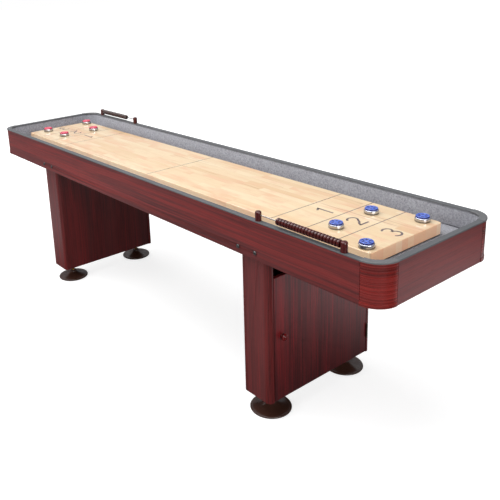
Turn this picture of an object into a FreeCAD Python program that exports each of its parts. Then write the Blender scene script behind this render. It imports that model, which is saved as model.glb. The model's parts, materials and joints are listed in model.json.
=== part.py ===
import FreeCAD, Part
import math
import os
import Sketcher
from FreeCAD import Vector, Rotation, Placement

# Nine-foot shuffleboard table. Millimetres, +Z up.
# Origin: on the floor under the middle of the table.
# +X runs along the table, +Y across it. The right end is +X and the near side is -Y.
# The table has two-fold symmetry about Z: the left half is the right half turned by 180 degrees.
# Only the pucks lie freely.

doc = FreeCAD.newDocument("ShuffleboardTable")
sheet = doc.addObject("Spreadsheet::Sheet", "Sizes")

# Driving dimensions: alias, value, what it is.
SIZES = [
    # cabinet shell
    ("CapLength", 2743.0, "overall length over the corner caps"),
    ("CapWidth", 622.0, "overall width over the corner caps"),
    ("CapOverhang", 3.0, "corner cap beyond the apron"),
    ("RailOverhang", 2.0, "straight rail beyond the apron"),
    ("ApronBottom", 656.0, "underside of the aprons above the floor"),
    ("ApronHigh", 144.0, "height of the aprons"),
    ("ApronThick", 18.0, "thickness of the aprons"),
    ("CornerRadius", 79.0, "outer radius of the curved corner aprons"),
    ("SeamEdge", 1.8, "eased upright edges of the corner aprons, beside the seams"),
    ("LipProud", 1.5, "how far the corner's base lip stands out"),
    ("LipHigh", 12.0, "height of the corner's base lip"),
    ("RailWide", 22.5, "width of the bullnose rail"),
    ("RailHigh", 4.5, "height of the bullnose rail"),
    ("RailRound", 2.0, "rounding of the rail's top edges"),
    ("CapHigh", 5.5, "height of the flat corner cap"),
    ("CapMore", 3.0, "how far the cap reaches past the rails' inner edges"),
    ("CapRound", 2.0, "rounding of the cap's top edges"),
    ("FloorThick", 14.0, "cabinet floor board"),
    ("FloorUnder", 712.0, "underside of the cabinet floor board"),
    ("CarpetThick", 3.0, "carpet pile and backing"),
    ("SpacerHigh", 5.0, "spacer strip under the playfield"),
    ("SpacerWide", 40.0, "spacer strip width"),
    ("SpacerLong", 2300.0, "spacer strip length"),
    ("SpacerOffset", 120.0, "spacer strip to the table's middle line"),
    ("SlabLong", 2482.0, "playfield length"),
    ("SlabWide", 390.0, "playfield width"),
    ("SlabThick", 40.0, "playfield thickness"),
    ("SlabRound", 12.0, "rounding of the playfield's upright corners"),
    ("SlabEdge", 1.5, "eased top edge of the playfield"),
    # pedestals
    ("PedOffset", 808.0, "pedestal centre to the table's middle"),
    ("PedDeep", 146.0, "pedestal depth along the table"),
    ("PedUnder", 78.0, "underside of the pedestal above the floor"),
    ("PostSize", 24.0, "corner post, square"),
    ("PostRound", 20.0, "rounding of the post's outer edge"),
    ("SideThick", 16.0, "side panel thickness"),
    ("PanelThick", 15.0, "inner panel thickness"),
    ("PanelInset", 3.0, "inner panel behind the posts' faces"),
    ("BottomThick", 18.0, "bottom board thickness"),
    ("BottomClear", 2.0, "gap between the bottom board and the door's back"),
    ("DoorThick", 16.0, "door thickness"),
    ("DoorGap", 3.2, "gap between the door's edge and each post"),
    ("DoorUnder", 80.0, "underside of the door"),
    ("DoorHigh", 505.0, "door height"),
    ("DoorEdge", 1.5, "eased front edges of the door"),
    ("KnobHeight", 344.0, "knob centre above the floor"),
    ("KnobOffset", 225.0, "knob to the middle of the door"),
    ("KnobRadius", 14.0, "knob radius"),
    ("KnobStem", 4.0, "knob tenon radius"),
    # hinges
    ("HingeAxisOut", 4.3, "hinge axis in front of the door's face"),
    ("HingeRadius", 4.0, "knuckle radius"),
    ("HingePin", 2.0, "hinge pin radius"),
    ("HingeBore", 2.05, "bore of the turning knuckle"),
    ("HingeLong", 60.0, "hinge height"),
    ("HingeLow", 150.0, "underside of the lower hinge"),
    ("HingeHigh", 470.0, "underside of the upper hinge"),
    ("LeafThick", 1.4, "hinge leaf thickness"),
    ("LeafWide", 14.0, "hinge leaf on the door and on the post"),
    ("KnuckleClear", 0.3, "gap between a leaf and the other leaf's knuckles"),
    ("KnucklePlay", 0.05, "play above and below the turning knuckle"),
    # levelers
    ("FootOffset", 215.0, "leveler to the table's middle line"),
    ("FootRadius", 81.0, "leveler disc radius"),
    ("FootRim", 9.0, "leveler rim height"),
    ("FootHub", 17.0, "leveler hub radius"),
    ("FootHigh", 40.0, "leveler height"),
    ("StudRadius", 8.0, "stud radius"),
    ("StudBore", 8.06, "bore of the leveler disc"),
    ("StudLow", 10.0, "lower end of the stud above the floor"),
    ("StudCollar", 13.0, "stud collar radius"),
    ("StudCollarHigh", 12.0, "stud collar height"),
    ("StudHigh", 86.0, "stud length"),
    # scorers
    ("PostEnd", 1222.0, "outer scorer post"),
    ("PostNear", 845.0, "inner scorer post"),
    ("ScorerOffset", 297.5, "scorer to the table's middle line"),
    ("ScorerPostRadius", 11.5, "scorer post radius"),
    ("ScorerPostHigh", 36.0, "scorer post height above the rail"),
    ("TenonRadius", 4.0, "tenon under a scorer post"),
    ("TenonLong", 4.5, "tenon length"),
    ("WireRadius", 2.0, "scorer wire radius"),
    ("WireHigh", 22.5, "scorer wire above the rail"),
    ("WireSeat", 6.0, "wire end inside the post"),
    ("BeadRadius", 13.0, "bead radius"),
    ("BeadBore", 2.06, "bead bore"),
    ("BeadThick", 12.4, "bead thickness"),
    ("BeadPitch", 13.0, "bead pitch"),
    ("BeadCount", 21, "beads on a wire"),
    # bolts
    ("BoltRadius", 4.0, "apron bolt shank"),
    ("BoltHead", 7.5, "apron bolt head radius"),
    ("BoltHeadHigh", 4.5, "apron bolt head height"),
    ("BoltLong", 32.0, "apron bolt shank length"),
    ("BoltHeight", 683.0, "apron bolt above the floor"),
    ("BoltOuter", 836.0, "outer apron bolt of a pair to the table's middle"),
    # pucks
    ("PuckRadius", 27.0, "steel disc radius"),
    ("PuckHigh", 15.0, "steel disc height"),
    ("PuckSeat", 20.0, "radius of the recess in the steel for the cap's spigot"),
    ("PuckSeatDeep", 4.0, "depth of the recess"),
    ("PuckCapRadius", 24.0, "plastic cap radius"),
    ("PuckCapHigh", 7.0, "plastic cap height above the steel"),
]

# Derived places, kept in the sheet as formulas: alias, formula.
DERIVED = [
    ("ApronX", "=CapLength / 2 - CapOverhang"),
    ("ApronY", "=CapWidth / 2 - CapOverhang"),
    ("CornerX", "=ApronX - CornerRadius"),
    ("CornerY", "=ApronY - CornerRadius"),
    ("WallX", "=ApronX - ApronThick"),
    ("WallY", "=ApronY - ApronThick"),
    ("WallRound", "=CornerRadius - ApronThick"),
    ("RailZ", "=ApronBottom + ApronHigh"),
    ("RailX", "=ApronX + RailOverhang - RailWide / 2"),
    ("RailY", "=ApronY + RailOverhang - RailWide / 2"),
    ("CapOuter", "=CornerRadius + CapOverhang"),
    ("CapInner", "=CornerRadius + RailOverhang - RailWide - CapMore"),
    ("CarpetZ", "=FloorUnder + FloorThick"),
    ("SpacerZ", "=CarpetZ + CarpetThick"),
    ("SlabZ", "=SpacerZ + SpacerHigh"),
    ("PlayTop", "=SlabZ + SlabThick"),
    ("PedFront", "=PedOffset + PedDeep / 2"),
    ("PedBack", "=PedOffset - PedDeep / 2"),
    ("DoorHalf", "=WallY - PostSize - DoorGap"),
    ("AxisX", "=PedFront + HingeAxisOut"),
    ("AxisY", "=WallY - PostSize - DoorGap / 2"),
    ("BoltInner", "=PedBack + PostSize / 2"),
    ("ScorerBase", "=RailZ + RailHigh"),
    ("WireZ", "=ScorerBase + WireHigh"),
]

for row, (alias, value, note) in enumerate(SIZES, start=1):
    sheet.set("A%d" % row, note)
    sheet.set("B%d" % row, str(value))
    sheet.setAlias("B%d" % row, alias)
doc.recompute()
for row, (alias, text) in enumerate(DERIVED, start=len(SIZES) + 2):
    sheet.set("B%d" % row, text)
    sheet.setAlias("B%d" % row, alias)
doc.recompute()
VALUES = {entry[0]: float(sheet.get(entry[0])) for entry in SIZES + DERIVED}


# ---------------------------------------------------------------- formulas
# Sizes and places are written as text, such as "CornerX - ApronThick / 2".
def replace_aliases(text, write):
    """The text with each alias in it replaced by write(alias)."""
    out, word = [], ""
    for char in str(text) + " ":
        if char.isalnum() or char == ".":
            word += char
        else:
            out.append(write(word) if word in VALUES else word)
            out.append(char)
            word = ""
    return "".join(out).strip()


def calculate(text):
    """Value of arithmetic on + - * / and brackets."""
    text = text.replace(" ", "") + ";"
    at = 0

    def atom():
        nonlocal at
        if text[at] == "(":
            at += 1
            result = total()
            at += 1
            return result
        if text[at] == "-":
            at += 1
            return -atom()
        start = at
        while text[at] in "0123456789.":
            at += 1
        return float(text[start:at])

    def product():
        nonlocal at
        result = atom()
        while text[at] in "*/":
            times = text[at] == "*"
            at += 1
            right = atom()
            result = result * right if times else result / right
        return result

    def total():
        nonlocal at
        result = product()
        while text[at] in "+-":
            plus = text[at] == "+"
            at += 1
            right = product()
            result = result + right if plus else result - right
        return result

    return total()


def formula(text):
    """Expression that reads the aliases from the sheet."""
    return replace_aliases(text, lambda alias: "Sizes." + alias)


def number(text):
    """Number the same expression gives."""
    return calculate(replace_aliases(text, lambda alias: repr(VALUES[alias])))


def drive(obj, prop, text):
    """Set a property and bind it to the sheet."""
    setattr(obj, prop, number(text))
    obj.setExpression(prop, formula(text))


def place(obj, x="0", y="0", z="0", turn=0.0, axis=(0, 0, 1)):
    obj.Placement = Placement(Vector(number(x), number(y), number(z)),
                              Rotation(Vector(*axis), turn))
    for name, text in (("x", x), ("y", y), ("z", z)):
        obj.setExpression("Placement.Base." + name, formula(text))
    return obj


# ---------------------------------------------------------------- sketches
def origin_feature(body, role):
    return next(f for f in body.Origin.OriginFeatures if f.Role == role)


def new_body(label):
    body = doc.addObject("PartDesign::Body", label)
    body.Label = label
    body.AllowCompound = True
    return body


def new_sketch(body, name, plane="XY_Plane", lift=None):
    """Sketch on one of the body's own planes, moved along its normal by lift."""
    sketch = body.newObject("Sketcher::SketchObject", name)
    sketch.AttachmentSupport = [(origin_feature(body, plane), "")]
    sketch.MapMode = "FlatFace"
    if lift:
        sketch.AttachmentOffset = Placement(Vector(0, 0, number(lift)), Rotation())
        sketch.setExpression("AttachmentOffset.Base.z", formula(lift))
    return sketch


def constrain(sketch, kind, *refs):
    return sketch.addConstraint(Sketcher.Constraint(kind, *refs))


def dimension(sketch, text, kind, *refs):
    """A dimension bound to the sheet."""
    index = constrain(sketch, kind, *refs, number(text))
    sketch.setExpression("Constraints[%d]" % index, formula(text))


def add_line(sketch, start, end):
    sketch.addGeometry(Part.LineSegment(Vector(*start, 0), Vector(*end, 0)), False)


def add_quarter_arc(sketch, x, y, radius, start):
    ring = Part.Circle(Vector(x, y, 0), Vector(0, 0, 1), radius)
    sketch.addGeometry(Part.ArcOfCircle(ring, start, start + math.pi / 2), False)


def closed_lines(sketch, points):
    count = len(points)
    for i in range(count):
        add_line(sketch, points[i], points[(i + 1) % count])
    for i in range(count):
        constrain(sketch, "Coincident", i, 2, (i + 1) % count, 1)


def level_and_upright(sketch):
    for i, kind in enumerate(("Horizontal", "Vertical", "Horizontal", "Vertical")):
        constrain(sketch, kind, i)


def upright_rectangle(sketch, x0, y0, x1, y1):
    closed_lines(sketch, [(x0, y0), (x1, y0), (x1, y1), (x0, y1)])
    level_and_upright(sketch)


def rectangle(sketch, wide, deep):
    """Rectangle centred on the sketch's origin."""
    a, b = number(wide) / 2, number(deep) / 2
    upright_rectangle(sketch, -a, -b, a, b)
    constrain(sketch, "Symmetric", 0, 1, 2, 1, -1, 1)
    dimension(sketch, wide, "DistanceX", 0, 1, 0, 2)
    dimension(sketch, deep, "DistanceY", 1, 1, 1, 2)


def rounded_rectangle(sketch, wide, deep, radius):
    """Rectangle centred on the origin, with four equal rounded corners."""
    a, b, r = number(wide) / 2, number(deep) / 2, number(radius)
    add_line(sketch, (-a + r, -b), (a - r, -b))
    add_line(sketch, (a, -b + r), (a, b - r))
    add_line(sketch, (a - r, b), (-a + r, b))
    add_line(sketch, (-a, b - r), (-a, -b + r))
    add_quarter_arc(sketch, a - r, -b + r, r, -math.pi / 2)
    add_quarter_arc(sketch, a - r, b - r, r, 0.0)
    add_quarter_arc(sketch, -a + r, b - r, r, math.pi / 2)
    add_quarter_arc(sketch, -a + r, -b + r, r, math.pi)
    for i in range(4):
        constrain(sketch, "Tangent", i, 2, 4 + i, 1)
        constrain(sketch, "Tangent", 4 + i, 2, (i + 1) % 4, 1)
    level_and_upright(sketch)
    for i in range(1, 4):
        constrain(sketch, "Equal", 4, 4 + i)
    dimension(sketch, radius, "Radius", 4)
    constrain(sketch, "Symmetric", 4, 3, 6, 3, -1, 1)
    dimension(sketch, "%s - 2 * (%s)" % (wide, radius), "DistanceX", 6, 3, 5, 3)
    dimension(sketch, "%s - 2 * (%s)" % (deep, radius), "DistanceY", 4, 3, 5, 3)


def quarter_ring(sketch, outer, inner):
    """A quarter ring about the origin, between the sketch's +X and +Y axes."""
    outer_radius, inner_radius = number(outer), number(inner)
    add_quarter_arc(sketch, 0, 0, outer_radius, 0)
    add_line(sketch, (0, outer_radius), (0, inner_radius))
    add_quarter_arc(sketch, 0, 0, inner_radius, 0)
    add_line(sketch, (inner_radius, 0), (outer_radius, 0))
    for refs in ((0, 3, -1, 1), (2, 3, -1, 1),
                 (0, 2, 1, 1), (1, 2, 2, 2), (2, 1, 3, 1), (3, 2, 0, 1)):
        constrain(sketch, "Coincident", *refs)
    for refs in ((0, 1, -1), (2, 1, -1), (0, 2, -2), (2, 2, -2)):
        constrain(sketch, "PointOnObject", *refs)
    dimension(sketch, outer, "Radius", 0)
    dimension(sketch, inner, "Radius", 2)


def outline(sketch, points):
    """Closed outline through points of the first quadrant, each bound to the sheet."""
    places = [(number(x), number(y)) for x, y in points]
    closed_lines(sketch, places)
    for i, (x, y) in enumerate(places):
        on_y_axis, on_x_axis = abs(x) < 1e-9, abs(y) < 1e-9
        if on_y_axis and on_x_axis:
            constrain(sketch, "Coincident", i, 1, -1, 1)
            continue
        if on_y_axis:
            constrain(sketch, "PointOnObject", i, 1, -2)
        else:
            dimension(sketch, points[i][0], "DistanceX", -1, 1, i, 1)
        if on_x_axis:
            constrain(sketch, "PointOnObject", i, 1, -1)
        else:
            dimension(sketch, points[i][1], "DistanceY", -1, 1, i, 1)


def circle(sketch, radius, x=None, y=None):
    """Circle; a coordinate left out puts its centre on that axis."""
    centre = Vector(number(x) if x else 0, number(y) if y else 0, 0)
    ring = sketch.addGeometry(Part.Circle(centre, Vector(0, 0, 1), number(radius)), False)
    dimension(sketch, radius, "Radius", ring)
    if not x and not y:
        constrain(sketch, "Coincident", ring, 3, -1, 1)
        return
    for text, kind, axis in ((x, "DistanceX", -2), (y, "DistanceY", -1)):
        if not text:
            constrain(sketch, "PointOnObject", ring, 3, axis)
        elif number(text) >= 0:
            dimension(sketch, text, kind, -1, 1, ring, 3)
        else:
            dimension(sketch, "-(%s)" % text, kind, ring, 3, -1, 1)


# ---------------------------------------------------------------- features
def add_feature(body, kind, sketch, name):
    feature = body.newObject("PartDesign::" + kind, name)
    feature.Profile = sketch
    body.Tip = feature
    return feature


def pad(body, sketch, length, name):
    feature = add_feature(body, "Pad", sketch, name)
    drive(feature, "Length", length)
    return feature


def pocket(body, sketch, length, name, along_normal):
    """Pocket of a given depth; it cuts against the sketch's normal unless along_normal."""
    feature = add_feature(body, "Pocket", sketch, name)
    drive(feature, "Length", length)
    feature.Reversed = along_normal
    doc.recompute()


def pocket_through(body, sketch, name):
    """Cut straight through both ways; the volume has to drop."""
    doc.recompute()
    before = body.Shape.Volume
    feature = add_feature(body, "Pocket", sketch, name)
    feature.Type = "ThroughAll"
    feature.Midplane = True
    doc.recompute()
    if not body.Shape.Volume < before - 1e-3:
        raise RuntimeError("pocket %s cut nothing" % name)


def bore(body, holes, plane):
    """Round holes straight through, drawn on one of the body's planes: (radius, x, y)."""
    sketch = new_sketch(body, body.Label + "_holes", plane)
    for radius, x, y in holes:
        circle(sketch, radius, x, y)
    pocket_through(body, sketch, body.Label + "_bores")


def dress(body, kind, size, test, name):
    """Fillet or chamfer the edges that pass the test."""
    doc.recompute()
    base = body.Tip
    names = ["Edge%d" % i for i, edge in enumerate(base.Shape.Edges, start=1) if test(edge)]
    if not names:
        raise RuntimeError("no edges for " + name)
    feature = body.newObject("PartDesign::" + kind, name)
    feature.Base = (base, names)
    drive(feature, "Radius" if kind == "Fillet" else "Size", size)
    body.Tip = feature
    doc.recompute()


def direction(edge):
    """Unit vector from the edge's start to its end, or zero for a closed edge."""
    chord = edge.valueAt(edge.LastParameter) - edge.valueAt(edge.FirstParameter)
    return chord.normalize() if chord.Length > 1e-9 else Vector(0, 0, 0)


def middle(edge):
    return edge.valueAt((edge.FirstParameter + edge.LastParameter) / 2)


def is_upright(edge):
    return abs(direction(edge).z) > 0.99


def at_height(edge, high):
    return middle(edge).z > number(high) - 0.01


# ---------------------------------------------------------------- kinds of body
def board(label, wide, deep, high):
    """A centred rectangle padded up from z = 0 of its own body."""
    body = new_body(label)
    sketch = new_sketch(body, label + "_outline")
    rectangle(sketch, wide, deep)
    pad(body, sketch, high, label + "_pad")
    return body


def rounded_board(label, wide, deep, radius, high):
    body = new_body(label)
    sketch = new_sketch(body, label + "_outline")
    rounded_rectangle(sketch, wide, deep, radius)
    pad(body, sketch, high, label + "_pad")
    return body


def curved_board(label, outer, inner, high):
    body = new_body(label)
    sketch = new_sketch(body, label + "_outline")
    quarter_ring(sketch, outer, inner)
    pad(body, sketch, high, label + "_pad")
    return body


def turned(label, profile, axis="V_Axis"):
    """A profile in the XZ plane revolved about Z (V_Axis) or X (H_Axis)."""
    body = new_body(label)
    sketch = new_sketch(body, label + "_profile", "XZ_Plane")
    outline(sketch, profile)
    feature = add_feature(body, "Revolution", sketch, label + "_turned")
    feature.ReferenceAxis = (sketch, [axis])
    feature.Angle = 360.0
    return body


NODES = []  # the objects to export


def compound(label, members):
    """One node of several pieces, each a separate solid."""
    group = doc.addObject("Part::Compound", label)
    group.Label = label
    group.Links = members
    NODES.append(group)


# End, sign of x, opposite sign, turn about Z.
ENDS = (("right", "", "-", 0), ("left", "-", "", 180))
# Side, sign of y, opposite sign, turn about Z.
SIDES = (("near", "-", "", 0), ("far", "", "-", 180))
# Corner, sign of x, sign of y, turn about Z of a piece drawn for the right far corner.
CORNERS = (("right_far", "", "", 0), ("left_far", "-", "", 90),
           ("left_near", "-", "-", 180), ("right_near", "", "-", 270))


# ---------------------------------------------------------------- cabinet shell
def side_apron(side, sign, turn):
    """Long apron with two bolt holes at each pedestal."""
    body = board("side_apron_" + side, "2 * CornerX", "ApronThick", "ApronHigh")
    bolts_x = ("BoltInner", "BoltOuter", "-BoltInner", "-BoltOuter")
    bore(body, [("BoltRadius", x, "BoltHeight - ApronBottom") for x in bolts_x], "XZ_Plane")
    return place(body, "0", "%s(ApronY - ApronThick / 2)" % sign, "ApronBottom", turn)


def end_apron(end, sign):
    body = board("end_apron_" + end, "ApronThick", "2 * CornerY", "ApronHigh")
    return place(body, "%s(ApronX - ApronThick / 2)" % sign, "0", "ApronBottom")


def corner_apron(corner, x_sign, y_sign, turn):
    """Curved apron with a small base lip and eased outer edges at its ends."""
    label = "corner_apron_" + corner
    body = curved_board(label, "CornerRadius", "CornerRadius - ApronThick", "ApronHigh")
    doc.recompute()
    # the lip's ring starts at mid thickness, so it overlaps the apron
    sketch = new_sketch(body, label + "_lip")
    quarter_ring(sketch, "CornerRadius + LipProud", "CornerRadius - ApronThick / 2")
    pad(body, sketch, "LipHigh", label + "_lip_pad")

    def is_seam(edge):
        radius = math.hypot(middle(edge).x, middle(edge).y)
        return (is_upright(edge) and edge.Length > number("LipHigh") * 2
                and abs(radius - number("CornerRadius")) < 0.01)

    dress(body, "Chamfer", "SeamEdge", is_seam, label + "_seam")
    return place(body, x_sign + "CornerX", y_sign + "CornerY", "ApronBottom", turn)


def side_rail(side, sign, opposite):
    """Bullnose rail with two holes for the scorer posts' tenons."""
    label = "side_rail_" + side
    body = board(label, "2 * CornerX", "RailWide", "RailHigh")
    dress(body, "Fillet", "RailRound",
          lambda e: abs(direction(e).x) > 0.99 and at_height(e, "RailHigh"), label + "_round")
    hole_y = "%s(RailY - ScorerOffset)" % opposite
    bore(body, [("TenonRadius", opposite + x, hole_y) for x in ("PostNear", "PostEnd")],
         "XY_Plane")
    return place(body, "0", sign + "RailY", "RailZ")


def end_rail(end, sign):
    label = "end_rail_" + end
    body = board(label, "RailWide", "2 * CornerY", "RailHigh")
    dress(body, "Fillet", "RailRound",
          lambda e: abs(direction(e).y) > 0.99 and at_height(e, "RailHigh"), label + "_round")
    return place(body, sign + "RailX", "0", "RailZ")


def corner_cap(corner, x_sign, y_sign, turn):
    """Flat quarter ring with rounded top edges along its arcs."""
    label = "cap_" + corner
    body = curved_board(label, "CapOuter", "CapInner", "CapHigh")
    dress(body, "Fillet", "CapRound",
          lambda e: e.Curve.TypeId == "Part::GeomCircle" and at_height(e, "CapHigh"),
          label + "_round")
    return place(body, x_sign + "CornerX", y_sign + "CornerY", "RailZ", turn)


for side, sign, opposite, turn in SIDES:
    NODES.append(side_apron(side, sign, turn))
for end, sign, opposite, turn in ENDS:
    NODES.append(end_apron(end, sign))
for corner in CORNERS:
    NODES.append(corner_apron(*corner))
for side, sign, opposite, turn in SIDES:
    NODES.append(side_rail(side, sign, opposite))
for end, sign, opposite, turn in ENDS:
    NODES.append(end_rail(end, sign))
compound("corner_caps", [corner_cap(*corner) for corner in CORNERS])


# ---------------------------------------------------------------- cabinet inside
def cabinet_layer(label, high, z):
    """A layer that fills the cabinet from wall to wall."""
    body = rounded_board(label, "2 * WallX", "2 * WallY", "WallRound", high)
    return place(body, "0", "0", z)


def carpet_wall():
    """Carpet strip round the walls, from the carpet floor up to the rails."""
    body = cabinet_layer("carpet_wall", "RailZ - SpacerZ", "SpacerZ")
    sketch = new_sketch(body, "carpet_wall_inside")
    rounded_rectangle(sketch, "2 * WallX - 2 * CarpetThick", "2 * WallY - 2 * CarpetThick",
                      "WallRound - CarpetThick")
    pocket_through(body, sketch, "carpet_wall_hollow")
    return body


def playfield():
    """Slab with an eased top edge."""
    body = rounded_board("playfield", "SlabLong", "SlabWide", "SlabRound", "SlabThick")
    dress(body, "Chamfer", "SlabEdge",
          lambda e: e.BoundBox.ZLength < 1e-6 and at_height(e, "SlabThick"),
          "playfield_eased")
    return place(body, "0", "0", "SlabZ")


def spacer(side, sign):
    body = board("spacer_" + side, "SpacerLong", "SpacerWide", "SpacerHigh")
    return place(body, "0", sign + "SpacerOffset", "SpacerZ")


NODES.append(cabinet_layer("cabinet_floor", "FloorThick", "FloorUnder"))
NODES.append(cabinet_layer("carpet_floor", "CarpetThick", "CarpetZ"))
NODES.append(carpet_wall())
NODES.append(playfield())
compound("playfield_spacers", [spacer(side, sign) for side, sign, opposite, turn in SIDES])

# ---------------------------------------------------------------- pedestals
# Each part is drawn for the right pedestal and turned 180 degrees about the table's
# middle for the left. The front faces the table's end, the back its middle.
PED_HIGH = "FloorUnder - PedUnder"

# Posts of the right pedestal: front or back, side, turn, x.
POSTS = (("front", "far", 0, "PedFront - PostSize / 2"),
         ("back", "far", 90, "PedBack + PostSize / 2"),
         ("back", "near", 180, "PedBack + PostSize / 2"),
         ("front", "near", 270, "PedFront - PostSize / 2"))

# Knob, radius and height from the tenon's end: tenon, neck, then the rounded head.
KNOB = [
    ("0", "0"), ("KnobStem", "0"), ("KnobStem", "DoorThick"),
    ("KnobStem + 4", "DoorThick"), ("KnobStem + 2.2", "DoorThick + 4"),
    ("KnobStem + 3.4", "DoorThick + 8"), ("KnobRadius - 1.6", "DoorThick + 10.5"),
    ("KnobRadius", "DoorThick + 14"), ("KnobRadius - 1.2", "DoorThick + 17.5"),
    ("KnobRadius - 4.5", "DoorThick + 20.5"), ("KnobRadius - 9", "DoorThick + 22"),
    ("0", "DoorThick + 22.5"),
]


def corner_post(end, sign, opposite, end_turn, depth, side, turn, x):
    """Square post with a rounded outer edge; the side is that of the right pedestal."""
    label = "post_%s_%s_%s" % (end, depth, side)
    body = board(label, "PostSize", "PostSize", PED_HIGH)
    dress(body, "Fillet", "PostRound",
          lambda e: is_upright(e) and middle(e).x > 0 and middle(e).y > 0, label + "_round")
    # an apron bolt passes through the middle of each back post, across the table
    if depth == "back":
        plane = "XZ_Plane" if side == "near" else "YZ_Plane"
        bore(body, [("BoltRadius", None, "BoltHeight - PedUnder")], plane)
    y_sign = sign if side == "far" else opposite
    return place(body, "%s(%s)" % (sign, x), "%s(WallY - PostSize / 2)" % y_sign,
                 "PedUnder", turn + end_turn)


def side_panel(end, end_sign, turn, side, side_sign):
    """Panel between two posts, with a hole for the outer apron bolt."""
    label = "pedestal_%s_side_%s" % (end, side)
    body = board(label, "PedDeep - 2 * PostSize", "SideThick", PED_HIGH)
    bore(body, [("BoltRadius", "BoltOuter - PedOffset", "BoltHeight - PedUnder")], "XZ_Plane")
    return place(body, end_sign + "PedOffset", "%s(WallY - SideThick / 2)" % side_sign,
                 "PedUnder", turn)


def inner_panel(end, sign, turn):
    """Panel between the back posts."""
    label = "pedestal_%s_inner_panel" % end
    body = board(label, "PanelThick", "2 * WallY - 2 * PostSize", PED_HIGH)
    x = "%s(PedBack + PanelInset + PanelThick / 2)" % sign
    return place(body, x, "0", "PedUnder", turn)


def bottom_board(end, sign, turn):
    """Board notched round the posts and bored for the two leveler studs."""
    label = "pedestal_%s_bottom" % end
    body = new_body(label)
    sketch = new_sketch(body, label + "_long")
    rectangle(sketch, "PedDeep - 2 * PostSize", "2 * WallY - 2 * SideThick")
    pad(body, sketch, "BottomThick", label + "_long_pad")
    doc.recompute()
    sketch = new_sketch(body, label + "_cross")
    rectangle(sketch, "PedDeep - 2 * DoorThick - 2 * BottomClear",
              "2 * WallY - 2 * PostSize")
    pad(body, sketch, "BottomThick", label + "_cross_pad")
    bore(body, [("StudRadius", None, "FootOffset"), ("StudRadius", None, "-FootOffset")],
         "XY_Plane")
    return place(body, sign + "PedOffset", "0", "PedUnder", turn)


def door(end, sign, turn):
    """Door with eased front edges and a hole for the knob's tenon."""
    label = "door_" + end
    body = board(label, "DoorThick", "2 * DoorHalf", "DoorHigh")

    def is_front(edge):
        return (middle(edge).x > number("DoorThick") / 2 - 0.01
                and abs(direction(edge).x) < 0.01)

    dress(body, "Chamfer", "DoorEdge", is_front, label + "_eased")
    bore(body, [("KnobStem", "-KnobOffset", "KnobHeight - DoorUnder")], "YZ_Plane")
    return place(body, "%s(PedFront - DoorThick / 2)" % sign, "0", "DoorUnder", turn)


def knob(end, sign, opposite):
    """Turned knob with its tenon through the door, pointing to the table's end."""
    return place(turned("knob_" + end, KNOB), "%s(PedFront - DoorThick)" % sign,
                 opposite + "KnobOffset", "KnobHeight", 90 if end == "right" else -90,
                 (0, 1, 0))


corner_posts = []
for end, sign, opposite, turn in ENDS:
    for post in POSTS:
        corner_posts.append(corner_post(end, sign, opposite, turn, *post))
    for side, side_sign, _, _ in SIDES:
        NODES.append(side_panel(end, sign, turn, side, side_sign))
    NODES.append(inner_panel(end, sign, turn))
    NODES.append(bottom_board(end, sign, turn))
    NODES.append(door(end, sign, turn))
    NODES.append(knob(end, sign, opposite))
compound("corner_posts", corner_posts)

# ---------------------------------------------------------------- hinges
# A butt hinge: three knuckles on one pin, the middle one on the door's leaf.
THIRD = "HingeLong / 3"

# Hinge pin with a low head, radius and height.
PIN = [
    ("0", "0"), ("HingePin", "0"), ("HingePin", "HingeLong"),
    ("HingePin + 1", "HingeLong"), ("HingePin + 1", "HingeLong + 1.2"),
    ("HingePin - 0.5", "HingeLong + 2.4"), ("0", "HingeLong + 2.4"),
]


def hinge_leaf(label, on_door):
    """One leaf in the hinge's own frame: axis on Z, the door shut, the post on the +Y side."""
    body = new_body(label)
    # the plate lies in the door gap, behind the axis
    sketch = new_sketch(body, label + "_plate")
    thick, half_gap = number("LeafThick"), number("DoorGap / 2")
    low_y = -half_gap if on_door else half_gap - thick
    upright_rectangle(sketch, -number("HingeAxisOut + LeafWide"), low_y, 0, low_y + thick)
    constrain(sketch, "PointOnObject", 1, 1, -2)
    dimension(sketch, "HingeAxisOut + LeafWide", "DistanceX", 0, 1, 0, 2)
    dimension(sketch, "LeafThick", "DistanceY", 1, 1, 1, 2)
    gap_refs = (0, 1, -1, 1) if on_door else (-1, 1, 2, 1)
    dimension(sketch, "DoorGap / 2", "DistanceY", *gap_refs)
    pad(body, sketch, "HingeLong", label + "_plate_pad")
    doc.recompute()

    # thirds of the height, counted from below
    own_thirds, other_thirds = ((1,), (0, 2)) if on_door else ((0, 2), (1,))
    # room for the other leaf's knuckles
    for i in other_thirds:
        sketch = new_sketch(body, label + "_clear%d" % i, lift="%s * %d" % (THIRD, i))
        circle(sketch, "HingeRadius + KnuckleClear")
        pocket(body, sketch, THIRD, label + "_clear_cut%d" % i, along_normal=True)
    play = "KnucklePlay" if on_door else "0"
    for i in own_thirds:
        sketch = new_sketch(body, label + "_knuckle%d" % i,
                            lift="%s * %d + %s" % (THIRD, i, play))
        circle(sketch, "HingeRadius")
        pad(body, sketch, "%s - 2 * %s" % (THIRD, play), label + "_knuckle_pad%d" % i)
        doc.recompute()
    sketch = new_sketch(body, label + "_bore")
    circle(sketch, "HingeBore" if on_door else "HingePin")
    pocket_through(body, sketch, label + "_bored")
    return body


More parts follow.
